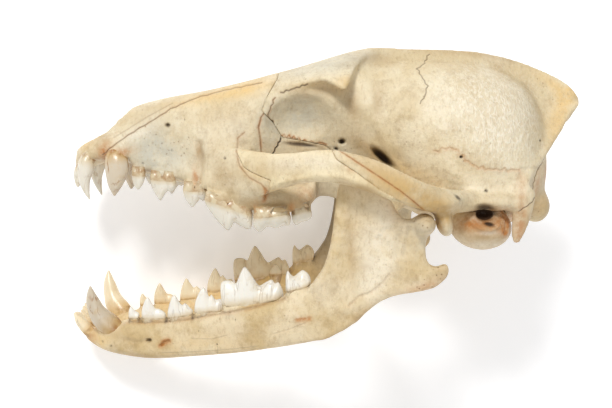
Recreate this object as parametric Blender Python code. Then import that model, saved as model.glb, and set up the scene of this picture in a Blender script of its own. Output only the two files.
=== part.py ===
"""A dog's skull with the lower jaw open, life size, lying on its right side.

Sizes are in millimetres in the skull's own frame: x runs back from the nose, y runs up
through the crown, and z runs out to the skull's left. MM makes them metres. LIE_ROLL and
LIE_YAW then lay the skull on its right side on the floor, with +Z up.
"""

import math

import bmesh
import bpy
from mathutils import Matrix, Vector

MM = 0.001
GAP = 0.3

# How the skull lies: turned a little about its long axis and about its height
LIE_ROLL = math.radians(12.4)
LIE_YAW = math.radians(-13.1)
FLAT_DEPTH = 0.7

# Fineness of the bones: the voxel that fuses them, the rounds that soften the joins,
# and the triangles that each keeps
VOXEL = 1.0
SOFTEN_ROUNDS = 5
CRANIUM_TRIANGLES = 5600
JAW_TRIANGLES = 1300

# The main body of the cranium, along x: the crown and under lines on the midline, the
# half width, the height where it is widest, and how square it is above and below that
CROWN = [(-91.5, 19), (-88, 22.4), (-82, 26), (-79, 28), (-76.3, 33.5), (-68, 38.9), (-56, 42.3),
         (-40, 45.2), (-25, 48.6), (-15, 51.2), (-5, 53.6), (8, 57), (20, 58), (35, 57),
         (52, 57), (66, 55.5), (80, 51), (89, 43.5), (93, 34), (94.6, 24)]
UNDER = [(-91.5, 14.5), (-86, 15), (-78, 17), (-70, 17), (-55, 12), (-42, 9), (-28, 4), (-12, 3),
         (4, 4.5), (14, 4), (26, 1), (40, -3), (55, -7), (74, -8), (86, -6), (92, 1), (94.6, 8)]
HALF_WIDTH = [(-91.5, 3.5), (-89, 7.5), (-84, 11), (-76, 14), (-68, 15.2), (-60, 14.6), (-50, 15.6),
              (-40, 18.4), (-30, 21.5), (-20, 21.5), (-8, 20), (8, 18.5), (20, 18), (30, 20),
              (40, 24.5), (50, 28), (62, 30.3), (72, 30), (82, 27), (88, 21.5), (93, 14), (94.6, 7)]
WIDEST_AT = [(-91.5, 16.5), (-80, 20), (-60, 18), (-40, 15), (-26, 16), (-14, 30), (0, 38),
             (18, 36), (34, 30), (55, 25), (75, 19), (90, 14), (98, 14)]
SQUARE_ABOVE = [(-91, 2.2), (-60, 2.3), (-25, 2.5), (0, 2.3), (25, 1.8), (50, 2.0), (98, 2.0)]
SQUARE_BELOW = [(-91, 2.4), (-60, 3.0), (-30, 2.6), (-10, 1.7), (20, 1.45), (45, 1.9), (98, 2.1)]

# The roof of the mouth with the tooth sockets
SOCKET_LINE = [(-91, 14), (-86, 14.5), (-80, 16.5), (-73, 18.2), (-66, 14.2), (-60, 12.4), (-54, 10.8),
               (-48, 9), (-42, 7.2), (-35, 4.2), (-28, 1.6), (-20, -0.4), (-12, -1.6), (-4, -2.2),
               (1, -0.5), (4, 3)]
SOCKET_WIDTH = [(-91, 4), (-88.5, 8), (-84, 12), (-78, 15.5), (-72, 18.2), (-66, 16.2), (-60, 16),
                (-50, 17.8), (-40, 21.2), (-31, 26.6), (-24, 28.8), (-14, 30), (-5, 27.5), (1, 24.5),
                (4, 20)]
SOCKET_DEPTH = 13.0

# The brow: the frontal roof that ends on each side in the postorbital process
BROW_WIDTH = [(-24, 14), (-17, 17.5), (-8, 18.8), (0, 20.5), (6, 23), (11, 25.6), (14.5, 27.2),
              (16.5, 23), (19, 15.5), (23, 8.5), (28, 4.5)]
BROW_DROP = [(-24, 9), (-17, 10), (-8, 6.2), (0, 6.8), (6, 7.2), (11, 10.8), (14.5, 14), (16.5, 10),
             (19, 6), (23, 2.8), (28, 2)]
BROW_TOP = [(-24, 48.5), (-12, 52), (0, 55.2), (12, 59), (20, 61), (28, 61.6)]
BROW_THICKNESS = 6.5

# The sagittal crest, with its top line, and the nuchal crest that runs down from its end
CREST_TOP = [(19, 60.8), (26, 62.4), (36, 61.9), (50, 61.5), (60, 61.3), (70, 60.3), (82, 57.5),
             (93, 53.6), (101, 49.8), (106, 46), (108.3, 42.4)]
CREST_FOOT = [(19, 55), (60, 54), (80, 46), (93, 33), (101, 31.5), (108.3, 40.4)]
NUCHAL_PATH = [(107, 42, 0.5), (103.4, 36.5, 6), (98.5, 29, 12), (92, 21.5, 19), (85, 14, 26),
               (81, 5, 31), (79, -1, 32)]

# The zygomatic arch on the left: centre, then half height and half thickness
ARCH_PATH = [((-34, 12, 17), 11, 5), ((-25, 13, 25.5), 10.5, 5), ((-18, 14, 33), 8.8, 3.8),
             ((-10, 15.2, 39), 6.9, 2.9), ((0, 17, 44.5), 6.0, 2.5), ((8, 17.6, 47.7), 6.3, 2.4),
             ((15, 16.6, 50), 6.3, 2.4), ((23, 14.4, 51.5), 6.0, 2.4), ((31, 11, 51.6), 5.6, 2.5),
             ((38, 8, 49.5), 5.2, 2.8), ((45, 5.6, 44.5), 4.9, 3.6), ((52, 4.2, 37), 4.6, 4.2),
             ((59, 3.6, 30), 4.2, 4.2), ((66, 3.4, 25), 3.4, 3)]

# Where the bones part: the face from the braincase, and the cheek bone at its two ends
FACE_SUTURE = [(-9, 66), (-11, 49), (-15, 42), (-16.8, 37), (-12.5, 32.5), (-9.2, 27), (7.4, 24),
               (13, 19), (14, 4), (14, -16)]
CHEEK_OUTLINE = [(-24, 31), (-23.5, 29.5), (-26, 26.8), (-25.6, 22), (-22.7, 16.5), (-19, 14.4),
                 (-12.6, 12), (-12.9, 9.2), (-15.5, 4), (-15, 1), (-4, 2), (10, 4), (24, 3), (38, -4),
                 (47, -9), (47, -5), (42, -1), (33.5, 5), (25, 9.6), (18, 15.2), (10.5, 20), (6, 30)]
CHEEK_INSIDE = [(-26, 27.8), (47, 43.8)]

# The jaw joint
CONDYLE = (43.2, -3.2, 36.5)
CONDYLE_RADII = (4.3, 4.1, 10.5)
JOINT_PLAY = 0.8

# Left half of the lower jaw, along x: top and bottom edges, mid plane and thickness
JAW_TOP = [(-89.5, -52.5), (-86, -50.4), (-80, -49.3), (-74, -47), (-68, -45.3), (-60, -44.4),
           (-50, -42.9), (-38, -40.2), (-30, -37.6), (-22, -35.6), (-13, -34.2), (-8, -31.4),
           (-2, -28.3), (3, -25.4), (8, -21), (14, -17)]
JAW_BOTTOM = [(-89.5, -54.5), (-85.5, -56.8), (-78.6, -59.3), (-74, -60.3), (-65, -61.1), (-55, -60.2),
              (-41, -58), (-28, -55.7), (-15, -52.9), (-2, -49.8), (7.5, -46.8), (14, -43)]
JAW_MIDDLE = [(-89.5, 3.5), (-84, 5.8), (-78, 7), (-72, 7.8), (-66, 9.6), (-60, 12), (-50, 15.2),
              (-38, 18.8), (-25, 23), (-12, 26.6), (0, 30), (14, 33.8)]
JAW_THICKNESS = [(-89.5, 6), (-84, 11.6), (-78, 14.4), (-72, 15), (-66, 13), (-60, 10.4), (-50, 9.4),
                 (-38, 9.6), (-25, 10.4), (-12, 10.2), (0, 8.8), (14, 6.4)]
RAMUS_OUTLINE = [(-6, -36), (3.6, -24.6), (6.8, -19.9), (8.8, -13.2), (10, -6.5), (11, 3.4), (12.2, 11),
                 (15, 16.6), (20, 18.2), (25, 16), (29, 9.5), (32.2, 3.4), (33.6, 0.6), (36, -1.6),
                 (39.5, -1.2), (43.5, -0.6), (46.4, -4.4), (43.9, -8.2), (43.6, -12.2), (43.9, -16),
                 (45.8, -18.9), (48.4, -18.9), (51.3, -17), (52.6, -19.6), (51.7, -22.9),
                 (47.1, -26.8), (42.4, -27.8), (35.9, -28.6), (29.4, -30.4), (24.3, -33.8),
                 (20.4, -38.4), (14.6, -42.8), (7.5, -47), (-3, -49)]
RAMUS_THICKNESS = 5.2
RAMUS_LEAN = [(-6, 29), (8, 33.4), (20, 36.2), (34, 37.4), (52, 35.6)]

# The lower jaw lies against the skull a little turned: its right side is higher and further back
JAW_TURNED_ABOUT = (-20, -45, 24)
JAW_ROLL = math.radians(2.4)
JAW_YAW = math.radians(-1.8)

# Grinding teeth of the left side: depth z, width across the crown, and the crown's outline in
# the side view from its front neck over the cusps to its back neck
UPPER_GRINDERS = {
    "premolar_1": (15.4, 3.6, [(-66.9, 12.5), (-66.3, 9.4), (-64.6, 7.0), (-62.7, 9.0), (-61.5, 12.1)]),
    "premolar_2": (16.6, 4.2, [(-59.8, 11.0), (-58.9, 7.6), (-57.1, 4.5), (-55.8, 3.0), (-54.1, 5.3),
                               (-52.9, 6.6), (-51.8, 6.2), (-50.2, 7.6), (-49.8, 10.3)]),
    "premolar_3": (19.4, 4.8, [(-46.8, 7.0), (-46.1, 4.0), (-44.5, 1.7), (-43.1, 0.6), (-41.5, 2.4),
                               (-40.3, 3.6), (-39.2, 3.0), (-37.7, 4.4), (-37.3, 6.6)]),
    "carnassial": (24.2, 6.0, [(-38.2, 3.7), (-37.4, 1.5), (-35.6, -1.1), (-32.9, -4.5), (-29.6, -7.6),
                               (-28.1, -6.4), (-27.0, -4.7), (-24.7, -6.0), (-21.2, -7.3), (-20.2, -4.5),
                               (-20.1, -1.5)]),
    "molar_1": (27.0, 8.0, [(-19.8, -2.5), (-19.6, -5.8), (-17.5, -8.1), (-15.7, -7.1), (-14.2, -6.0),
                            (-10.9, -6.6), (-8.6, -5.6), (-6.3, -5.5), (-5.6, -3.2), (-6.0, -1.4)]),
    "molar_2": (23.4, 6.4, [(-5.6, -1.7), (-4.9, -4.7), (-3.4, -5.9), (-1.7, -4.7), (0.4, -4.2), (1.5, -3.6),
                            (2.3, -2.1), (1.9, -0.2)]),
}
LOWER_GRINDERS = {
    "premolar_1": (11.6, 3.4, [(-70.3, -44.4), (-70.1, -41.7), (-69.2, -40.2), (-67.6, -41.9),
                               (-66.2, -42.7), (-66.0, -44.4)]),
    "premolar_2": (13.4, 4.0, [(-64.7, -44.1), (-64.4, -40.2), (-62.4, -36.2), (-60.7, -38.3),
                               (-59.3, -40.4), (-58.0, -40.6), (-56.4, -41.4), (-55.3, -42.5),
                               (-54.9, -44.1)]),
    "premolar_3": (15.8, 4.4, [(-54.2, -43.2), (-53.6, -39.0), (-51.6, -34.6), (-49.9, -36.5),
                               (-48.4, -38.4), (-47.1, -37.8), (-45.3, -39.4), (-44.2, -40.5),
                               (-44.0, -42.0)]),
    "premolar_4": (18.9, 5.2, [(-43.2, -40.1), (-42.5, -35.7), (-39.8, -30.9), (-38.1, -33.0),
                               (-37.3, -34.4), (-36.4, -33.7), (-34.9, -35.5), (-33.0, -35.3),
                               (-31.6, -37.2), (-31.3, -39.5)]),
    "carnassial": (23.4, 8.0, [(-32.0, -36.4), (-32.4, -31.1), (-32.0, -28.1), (-30.1, -27.2), (-27.9, -27.5),
                               (-26.4, -28.1), (-24.9, -24.7), (-23.2, -22.1), (-21.1, -24.3),
                               (-18.8, -27.9), (-17.5, -29.0), (-15.8, -28.1), (-13.1, -26.8),
                               (-11.7, -28.1), (-10.2, -27.9), (-8.7, -31.1), (-8.7, -33.9)]),
    "molar_2": (28.2, 6.6, [(-7.4, -29.7), (-7.4, -24.7), (-6.6, -22.4), (-5.4, -23.7), (-4.3, -24.3),
                            (-2.6, -23.0), (-1.0, -22.1), (1.0, -23.4), (1.9, -25.4), (1.7, -27.6)]),
}

# Pointed teeth and the inner cusps of the broad ones: stations (x, y, z, half length, half
# width) from inside the bone to the tip
UPPER_POINTS = {
    "incisor_1": [(-85.6, 19.4, 2.6, 1.6, 1.7), (-89.4, 14.6, 2.6, 1.9, 2.1), (-90.6, 11.2, 2.6, 1.5, 1.8),
                  (-91.0, 8.4, 2.4, 0.5, 0.7)],
    "incisor_2": [(-84.8, 19.4, 6.2, 1.7, 1.8), (-88.3, 14.8, 6.4, 2.1, 2.2), (-89.4, 11.0, 6.6, 1.7, 1.9),
                  (-89.6, 7.4, 6.6, 0.5, 0.7)],
    "incisor_3": [(-82.0, 21.4, 8.6, 2.2, 2.2), (-84.8, 18.1, 10.2, 2.9, 2.9), (-85.4, 15.0, 11.0, 3.2, 3.0),
                  (-85.9, 10.4, 11.6, 2.3, 2.2), (-85.2, 6.4, 11.8, 1.3, 1.3), (-84.0, 2.8, 11.6, 0.3, 0.3)],
    "canine": [(-69.2, 25.0, 13.4, 3.6, 2.8), (-72.2, 19.5, 16.2, 4.2, 3.2), (-72.1, 14.6, 17.6, 4.5, 3.3),
               (-72.7, 9.2, 18.4, 2.9, 2.4), (-73.1, 4.8, 18.4, 0.5, 0.5)],
    "carnassial_inner": [(-33.6, 7, 22.0, 2.6, 2.6), (-34.2, 2.2, 21.4, 3.0, 3.0), (-34.4, -1.4, 21.0, 0.9, 0.9)],
    "molar_1_inner": [(-12.9, 4, 21.6, 4.0, 4.4), (-13.0, -1.6, 21.0, 4.6, 5.0), (-13.2, -4.6, 20.4, 2.4, 2.4)],
    "molar_2_inner": [(-1.6, 4, 19.2, 2.6, 3.4), (-1.6, -1.0, 18.8, 3.0, 3.8), (-1.7, -3.6, 18.4, 1.6, 1.8)],
}
LOWER_POINTS = {
    "incisor_1": [(-84.4, -54.6, 2.4, 1.6, 1.4), (-88.8, -50.6, 2.4, 1.5, 1.5), (-91.4, -47.0, 2.3, 1.1, 1.5),
                  (-92.4, -44.8, 2.3, 0.4, 0.9)],
    "incisor_2": [(-84.4, -54.4, 4.8, 1.7, 1.5), (-88.8, -50.2, 4.9, 1.7, 1.7), (-91.4, -46.4, 5.1, 1.3, 1.6),
                  (-92.5, -44.0, 5.2, 0.4, 0.9)],
    "incisor_3": [(-84.0, -54.4, 7.0, 1.9, 1.7), (-87.8, -50.6, 7.6, 2.2, 1.9), (-90.6, -46.7, 8.2, 1.8, 1.8),
                  (-92.4, -43.4, 8.4, 0.5, 0.9)],
    "canine": [(-74.4, -52.6, 8.8, 3.6, 3.0), (-78.0, -48.0, 10.8, 4.6, 3.6), (-80.9, -44.4, 12.4, 4.1, 3.4),
               (-82.6, -40.8, 13.8, 3.2, 2.8), (-83.6, -37.0, 14.8, 2.5, 2.2), (-84.0, -34.0, 15.4, 1.5, 1.4),
               (-84.1, -31.2, 15.8, 0.4, 0.4)],
    "carnassial_inner": [(-14.2, -38, 21.0, 2.4, 2.0), (-14.2, -33, 20.4, 2.8, 2.2), (-14.3, -29.2, 20.0, 0.8, 0.8)],
}
TOOTH_SIDES = 8
ROOT = 4.0


def through(points):
    """The smooth curve through (x, value) pairs, level beyond both ends."""

    def slope(i):
        before, after = points[max(i - 1, 0)], points[min(i + 1, len(points) - 1)]
        return (after[1] - before[1]) / (after[0] - before[0])

    def value(x):
        if x <= points[0][0]:
            return points[0][1]
        if x >= points[-1][0]:
            return points[-1][1]
        i = max(k for k, point in enumerate(points) if point[0] <= x)
        (xa, a), (xb, b) = points[i], points[i + 1]
        t = (x - xa) / (xb - xa)
        rise_a, rise_b = slope(i) * (xb - xa), slope(i + 1) * (xb - xa)
        limit = 3 * abs(b - a)
        rise_a = max(-limit, min(limit, rise_a))
        rise_b = max(-limit, min(limit, rise_b))
        return (
            (2 * t**3 - 3 * t**2 + 1) * a
            + (t**3 - 2 * t**2 + t) * rise_a
            + (3 * t**2 - 2 * t**3) * b
            + (t**3 - t**2) * rise_b
        )

    return value


def spaced(start, end, step):
    """Even places from start to end, about a step apart."""
    count = max(2, round((end - start) / step))
    return [start + (end - start) * i / count for i in range(count + 1)]


def solid(name, rings):
    """A closed object through rings of as many points each, capped at both ends."""
    shape = bmesh.new()
    loops = [[shape.verts.new(Vector(p) * MM) for p in ring] for ring in rings]
    for a, b in zip(loops, loops[1:]):
        for i in range(len(a)):
            j = (i + 1) % len(a)
            shape.faces.new((a[i], a[j], b[j], b[i]))
    shape.faces.new(loops[0][::-1])
    shape.faces.new(loops[-1])
    bmesh.ops.recalc_face_normals(shape, faces=shape.faces)
    return finished(name, shape)


def finished(name, shape):
    """The object that holds this bmesh."""
    mesh = bpy.data.meshes.new(name)
    shape.to_mesh(mesh)
    shape.free()
    made = bpy.data.objects.new(name, mesh)
    bpy.context.scene.collection.objects.link(made)
    return made


def rounded_ring(x, top, middle, bottom, half, above, below, count=28):
    """A cross-section at x: two half super-ellipses that meet at the middle height."""
    ring = []
    for i in range(count):
        angle = 2 * math.pi * i / count
        c, s = math.cos(angle), math.sin(angle)
        reach, square = (top - middle, above) if s >= 0 else (middle - bottom, below)
        z = math.copysign(half * abs(c) ** (2 / square), c)
        y = middle + math.copysign(reach * abs(s) ** (2 / square), s)
        ring.append((x, y, z))
    return ring


def tube(name, path, sides=14, side_way=(0, 0, 1), square=2.2):
    """A solid along (centre, half height, half thickness), flat across side_way."""
    centres = [Vector(centre) for centre, _, _ in path]
    rings = []
    for i, (_, tall, thick) in enumerate(path):
        along = (centres[min(i + 1, len(path) - 1)] - centres[max(i - 1, 0)]).normalized()
        up = Vector(side_way).cross(along).normalized()
        side = along.cross(up)
        ring = []
        for k in range(sides):
            angle = 2 * math.pi * k / sides
            c, s = math.cos(angle), math.sin(angle)
            across = math.copysign(abs(c) ** (2 / square), c) * thick
            height = math.copysign(abs(s) ** (2 / square), s) * tall
            ring.append(centres[i] + side * across + up * height)
        rings.append(ring)
    return solid(name, rings)


def smooth_path(path, step):
    """The same path with more stations, each value on its own smooth curve."""
    distance = [0.0]
    for (a, _, _), (b, _, _) in zip(path, path[1:]):
        distance.append(distance[-1] + (Vector(b) - Vector(a)).length)
    values = [(*centre, tall, thick) for centre, tall, thick in path]
    curves = [through([(d, v[k]) for d, v in zip(distance, values)]) for k in range(5)]
    stations = []
    for d in spaced(0, distance[-1], step):
        x, y, z, tall, thick = (curve(d) for curve in curves)
        stations.append(((x, y, z), tall, thick))
    return stations


def ellipsoid(name, centre, radii, pitch=0.0, yaw=0.0, segments=20):
    """A closed egg, turned by pitch in the side view and by yaw seen from the crown."""
    shape = bmesh.new()
    bmesh.ops.create_uvsphere(shape, u_segments=segments, v_segments=segments // 2, radius=1)
    turn = Matrix.Rotation(yaw, 4, "Y") @ Matrix.Rotation(pitch, 4, "Z")
    place = Matrix.Translation(Vector(centre)) @ turn @ Matrix.Diagonal((*radii, 1))
    bmesh.ops.transform(shape, matrix=Matrix.Scale(MM, 4) @ place, verts=shape.verts)
    return finished(name, shape)


def plate(name, outline, thickness, lean):
    """An outline in the side view made a plate, its mid plane at lean(x)."""
    def side(sign):
        return [(x, y, lean(x) + sign * thickness / 2) for x, y in outline]

    return solid(name, [side(-1), side(1)])


def suture_knife(name, line, near, far):
    """A ribbon as wide as the gap, standing on a line of the side view, from z near to z far."""
    left, right = [], []
    for i, point in enumerate(line):
        ahead, behind = line[min(i + 1, len(line) - 1)], line[max(i - 1, 0)]
        way = Vector((ahead[0] - behind[0], ahead[1] - behind[1])).normalized() * (GAP / 2)
        left.append((point[0] - way.y, point[1] + way.x))
        right.append((point[0] + way.y, point[1] - way.x))
    outline = left + right[::-1]
    return solid(name, [[(x, y, z) for x, y in outline] for z in (near, far)])


def cheek_knife():
    """A tray as thin as the gap round the left cheek bone, open to the outside."""
    (xa, a), (xb, b) = CHEEK_INSIDE
    count = len(CHEEK_OUTLINE)

    def box(name, grown, deeper, far):
        outline = []
        for i in range(count):
            before, point, after = (Vector(CHEEK_OUTLINE[k % count]) for k in (i - 1, i, i + 1))
            way = (after - before).normalized()
            outline.append((point.x + way.y * grown, point.y - way.x * grown))
        near = [(x, y, a + (b - a) * (x - xa) / (xb - xa) - deeper) for x, y in outline]
        return solid(name, [near, [(x, y, far) for x, y in outline]])

    tray = box("cheek_knife", GAP / 2, GAP / 2, 62)
    combine(tray, [box("cheek_room", -GAP / 2, -GAP / 2, 64)], "DIFFERENCE")
    return tray


def mirrored(piece, name):
    """The same piece on the other side of the skull."""
    shape = bmesh.new()
    shape.from_mesh(piece.data)
    bmesh.ops.transform(shape, matrix=Matrix.Diagonal((1, 1, -1, 1)), verts=shape.verts)
    bmesh.ops.reverse_faces(shape, faces=shape.faces)
    return finished(name, shape)


def with_twin(piece):
    """The piece and its mirror image."""
    return [piece, mirrored(piece, piece.name + "_right")]


def apply_modifiers(piece):
    """Makes the piece's mesh what its modifiers show."""
    bpy.context.view_layer.update()
    graph = bpy.context.evaluated_depsgraph_get()
    made = bpy.data.meshes.new_from_object(piece.evaluated_get(graph))
    piece.modifiers.clear()
    piece.data = made


def combine(piece, others, operation):
    """Joins the others to the piece, or cuts them from it, with one Boolean, and removes them."""
    group = bpy.data.collections.new(operation)
    bpy.context.scene.collection.children.link(group)
    for other in others:
        bpy.context.scene.collection.objects.unlink(other)
        group.objects.link(other)
    boolean = piece.modifiers.new(operation, "BOOLEAN")
    boolean.operation = operation
    boolean.operand_type = "COLLECTION"
    boolean.collection = group
    boolean.solver = "EXACT"
    apply_modifiers(piece)
    for other in list(group.objects):
        bpy.data.objects.remove(other)
    bpy.data.collections.remove(group)


def soften(piece, triangles):
    """Fuses the piece's joins into smooth bone, then thins its mesh to about that many triangles."""
    remesh = piece.modifiers.new("fuse", "REMESH")
    remesh.mode = "VOXEL"
    remesh.voxel_size = VOXEL * MM
    smooth = piece.modifiers.new("soften", "SMOOTH")
    smooth.factor = 0.5
    smooth.iterations = SOFTEN_ROUNDS
    apply_modifiers(piece)
    thin = piece.modifiers.new("thin", "DECIMATE")
    thin.ratio = triangles / (2 * len(piece.data.polygons))
    apply_modifiers(piece)


def islands(piece):
    """The piece's closed surfaces as bmeshes, largest first."""
    whole = bmesh.new()
    whole.from_mesh(piece.data)
    bmesh.ops.triangulate(whole, faces=whole.faces)
    whole.faces.ensure_lookup_table()
    left = set(whole.faces)
    groups = []
    while left:
        queue = [left.pop()]
        group = {queue[0].index}
        while queue:
            for edge in queue.pop().edges:
                for face in edge.link_faces:
                    if face in left:
                        left.discard(face)
                        group.add(face.index)
                        queue.append(face)
        groups.append(group)
    groups.sort(key=len, reverse=True)
    found = []
    for group in groups:
        copy = whole.copy()
        others = [face for face in copy.faces if face.index not in group]
        bmesh.ops.delete(copy, geom=others, context="FACES")
        found.append(copy)
    whole.free()
    return found


def keep_largest(piece):
    """Leaves only the piece's largest closed surface."""
    found = islands(piece)
    found[0].to_mesh(piece.data)
    for shape in found:
        shape.free()


def parted(piece, homes):
    """Splits the piece into its islands, and names each after the home point it lies nearest."""
    made = {}
    for shape in islands(piece):
        centre = sum((v.co for v in shape.verts), Vector()) / len(shape.verts) / MM
        name = min(homes, key=lambda home: (Vector(homes[home]) - centre).length)
        if name in made:
            shape.free()
            continue
        made[name] = finished(name, shape)
    bpy.data.objects.remove(piece)
    return made


def skull_core():
    """Muzzle, orbit walls and braincase as one lofted body."""
    crown, under, half = through(CROWN), through(UNDER), through(HALF_WIDTH)
    widest, above, below = through(WIDEST_AT), through(SQUARE_ABOVE), through(SQUARE_BELOW)
    rings = []
    for x in spaced(-91.5, 94.6, 3):
        rings.append(rounded_ring(x, crown(x), widest(x), under(x), half(x), above(x), below(x)))
    return solid("core", rings)


def palate():
    """The roof of the mouth, out to the tooth sockets."""
    line, half = through(SOCKET_LINE), through(SOCKET_WIDTH)
    rings = []
    for x in spaced(-91, 4, 3):
        rings.append(rounded_ring(x, line(x) + SOCKET_DEPTH, line(x) + 5, line(x), half(x), 2.0, 3.4))
    return solid("palate", rings)


def brow():
    """The frontal roof, arched down to its edges on both sides."""
    half, drop, top = through(BROW_WIDTH), through(BROW_DROP), through(BROW_TOP)
    rings = []
    steps = 12
    for x in spaced(-24, 28, 1.6):
        over, beneath = [], []
        for i in range(steps + 1):
            share = 2 * i / steps - 1
            y = top(x) - drop(x) * abs(share) ** 1.7
            thick = BROW_THICKNESS * (1 - 0.62 * share**2)
            over.append((x, y, half(x) * share))
            beneath.append((x, y - thick, half(x) * share * 0.96))
        rings.append(over + beneath[::-1])
    return solid("brow", rings)


def sagittal_crest():
    """The blade along the top of the braincase, thin at its edge and wide at its foot."""
    top, foot = through(CREST_TOP), through(CREST_FOOT)
    rings = []
    for x in spaced(19, 108.3, 3):
        high, low = top(x), foot(x)
        mid = low + 0.55 * (high - low)
        rings.append([(x, high, 0.9), (x, high, -0.9), (x, mid, -2.1), (x, low, -6), (x, low, 6),
                      (x, mid, 2.1)])
    return solid("crest", rings)


def nuchal_blade():
    """The left wing of the crest round the back of the skull, thin at its edge."""
    path = [place for place, _, _ in smooth_path([(p, 1, 1) for p in NUCHAL_PATH], 3.5)]
    rings = []
    for i, place in enumerate(path):
        edge = Vector(place)
        inward = Vector((74, 20, edge.z * 0.5)) - edge
        along = Vector(path[min(i + 1, len(path) - 1)]) - Vector(path[max(i - 1, 0)])
        across = along.cross(inward).normalized()
        foot = edge + inward * 0.5
        rings.append([edge + across * 1.0, edge - across * 1.0, foot - across * 3.0, foot + across * 3.0])
    return solid("nuchal", rings)


def cranium():
    """The whole cranium, before the bones are parted."""
    core = skull_core()
    snout_bulge = [((-74, 20, 14.2), 4.6, 3.0), ((-67, 27, 12.2), 4.6, 2.8), ((-60, 32, 9.6), 3.6, 1.8)]
    pieces = [palate(), brow(), sagittal_crest()]
    pieces += with_twin(tube("canine_root", smooth_path(snout_bulge, 4)))
    combine(core, pieces, "UNION")

    hollows = [
        ellipsoid("nostril", (-79, 29.8, 0), (25, 6.4, 8.6), pitch=math.radians(12)),
        ellipsoid("mouth_roof", (-38, 3.2, 0), (44, 4.6, 15), pitch=math.radians(-9)),
        ellipsoid("choana", (22, -1, 0), (24, 9, 6.2), pitch=math.radians(6)),
        ellipsoid("foramen_magnum", (97, 4.5, 0), (14, 6.8, 8.2)),
    ]
    hollows += with_twin(ellipsoid("orbit", (-1.6, 33.5, 34), (19, 15, 21.5), pitch=math.radians(8)))
    hollows += with_twin(ellipsoid("temporal", (25, 10, 40), (22, 23, 28)))
    hollows += with_twin(ellipsoid("behind_canine", (-55, 24, 30), (17, 10, 15.5), pitch=math.radians(-14)))
    combine(core, hollows, "DIFFERENCE")

    outer = with_twin(tube("arch", smooth_path(ARCH_PATH, 4)))
    outer += with_twin(nuchal_blade())
    outer += with_twin(ellipsoid("joint_shelf", (47, 4.2, 35), (10.5, 4.2, 14)))
    outer += with_twin(ellipsoid("behind_joint", (50.2, -3.4, 37), (3.2, 6, 7.6), pitch=0.25))
    outer += with_twin(ellipsoid("ear_shelf", (70, 3.2, 27), (13, 3.4, 6.5)))
    outer += with_twin(tube("behind_ear", [((82, 8, 27), 4.4, 3), ((80.5, -1, 28.5), 3.8, 2.6),
                                           ((79, -8, 28), 3, 1.9), ((78.4, -13, 27), 1.6, 1.2)]))
    outer += with_twin(ellipsoid("condyle", (89.4, 0.3, 10.5), (5.9, 6.9, 6.4)))
    outer += with_twin(tube("pterygoid", smooth_path([((2, 11, 8.6), 7, 2.2), ((12, 9.5, 8.8), 7, 2.0),
                                                      ((22, 6.8, 9.0), 7, 1.9), ((32, 3, 9.2), 7, 1.8),
                                                      ((38, 0, 9.2), 4.6, 1.6)], 3)))
    combine(core, outer, "UNION")
    return core


def condyle_room():
    """The bearings of the jaw joints, a little larger than the jaw's condyles and necks."""
    round_part = ellipsoid("joint_room", CONDYLE, [r + JOINT_PLAY for r in CONDYLE_RADII])
    neck = [(30, -6), (31.5, 3.6), (36, 0.4), (43.5, 0.8), (48, -4), (44.5, -10)]
    rooms = [round_part, plate("neck_room", neck, RAMUS_THICKNESS + 2 * JOINT_PLAY, through(RAMUS_LEAN))]
    rooms += [mirrored(room, room.name + "_right") for room in rooms]
    for room in rooms:
        set_ajar(room)
    return rooms


def ear_capsule(name, more=0.0):
    """The left tympanic bulla, or with more the socket that it sits in."""
    return ellipsoid(name, (66.2, -6.6, 21), (12.6 + more, 9.3 + more, 10.4 + more),
                     pitch=math.radians(-8), yaw=math.radians(14), segments=16)


def grinder(name, z, width, crown, way):
    """A tooth with its crown's side outline, swollen at the neck; way is -1 above, 1 below."""
    first, last = crown[0], crown[-1]
    middle = (first[0] + last[0]) / 2
    tilt = (last[1] - first[1]) / (last[0] - first[0])
    root = [(last[0] - 0.6, last[1] - way * ROOT), (first[0] + 0.6, first[1] - way * ROOT)]
    rings = []
    for across, height, length in ((-0.5, 0.14, 0.7), (-0.36, 0.6, 0.92), (0, 1, 1), (0.36, 0.6, 0.92),
                                   (0.5, 0.14, 0.7)):
        ring = []
        for x, y in crown + root:
            neck = first[1] + tilt * (x - first[0])
            share = height if (x, y) not in root else 1
            ring.append((middle + (x - middle) * length, neck + (y - neck) * share, z + across * width))
        rings.append(ring)
    return solid(name, rings)


def pointed(name, stations):
    """A tooth along its stations, round in section."""
    path = [((x, y, z), long, wide) for x, y, z, long, wide in stations]
    return tube(name, path, sides=TOOTH_SIDES, square=2.0)


def teeth(grinders, points, way):
    """Every tooth of the left side, above or below."""
    made = [grinder(name, z, width, crown, way) for name, (z, width, crown) in grinders.items()]
    return made + [pointed(name, stations) for name, stations in points.items()]


def jaw_half():
    """The left half of the lower jaw, without its teeth."""
    top, bottom = through(JAW_TOP), through(JAW_BOTTOM)
    middle, thickness = through(JAW_MIDDLE), through(JAW_THICKNESS)
    rings = []
    for x in spaced(-89.5, 14, 2.6):
        high, low = top(x), bottom(x)
        ring = rounded_ring(x, high, (high + low) / 2, low, thickness(x) / 2, 2.6, 2.6, 20)
        rings.append([(px, py, pz + middle(x)) for px, py, pz in ring])
    body = solid("jaw_left", rings)
    ramus = plate("ramus", RAMUS_OUTLINE, RAMUS_THICKNESS, through(RAMUS_LEAN))
    condyle = ellipsoid("jaw_condyle", CONDYLE, CONDYLE_RADII)
    combine(body, [ramus, condyle], "UNION")
    fossa = ellipsoid("masseter_fossa", (25, -8, 45.5), (13.5, 17, 7.6))
    combine(body, [fossa], "DIFFERENCE")
    return body


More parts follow.
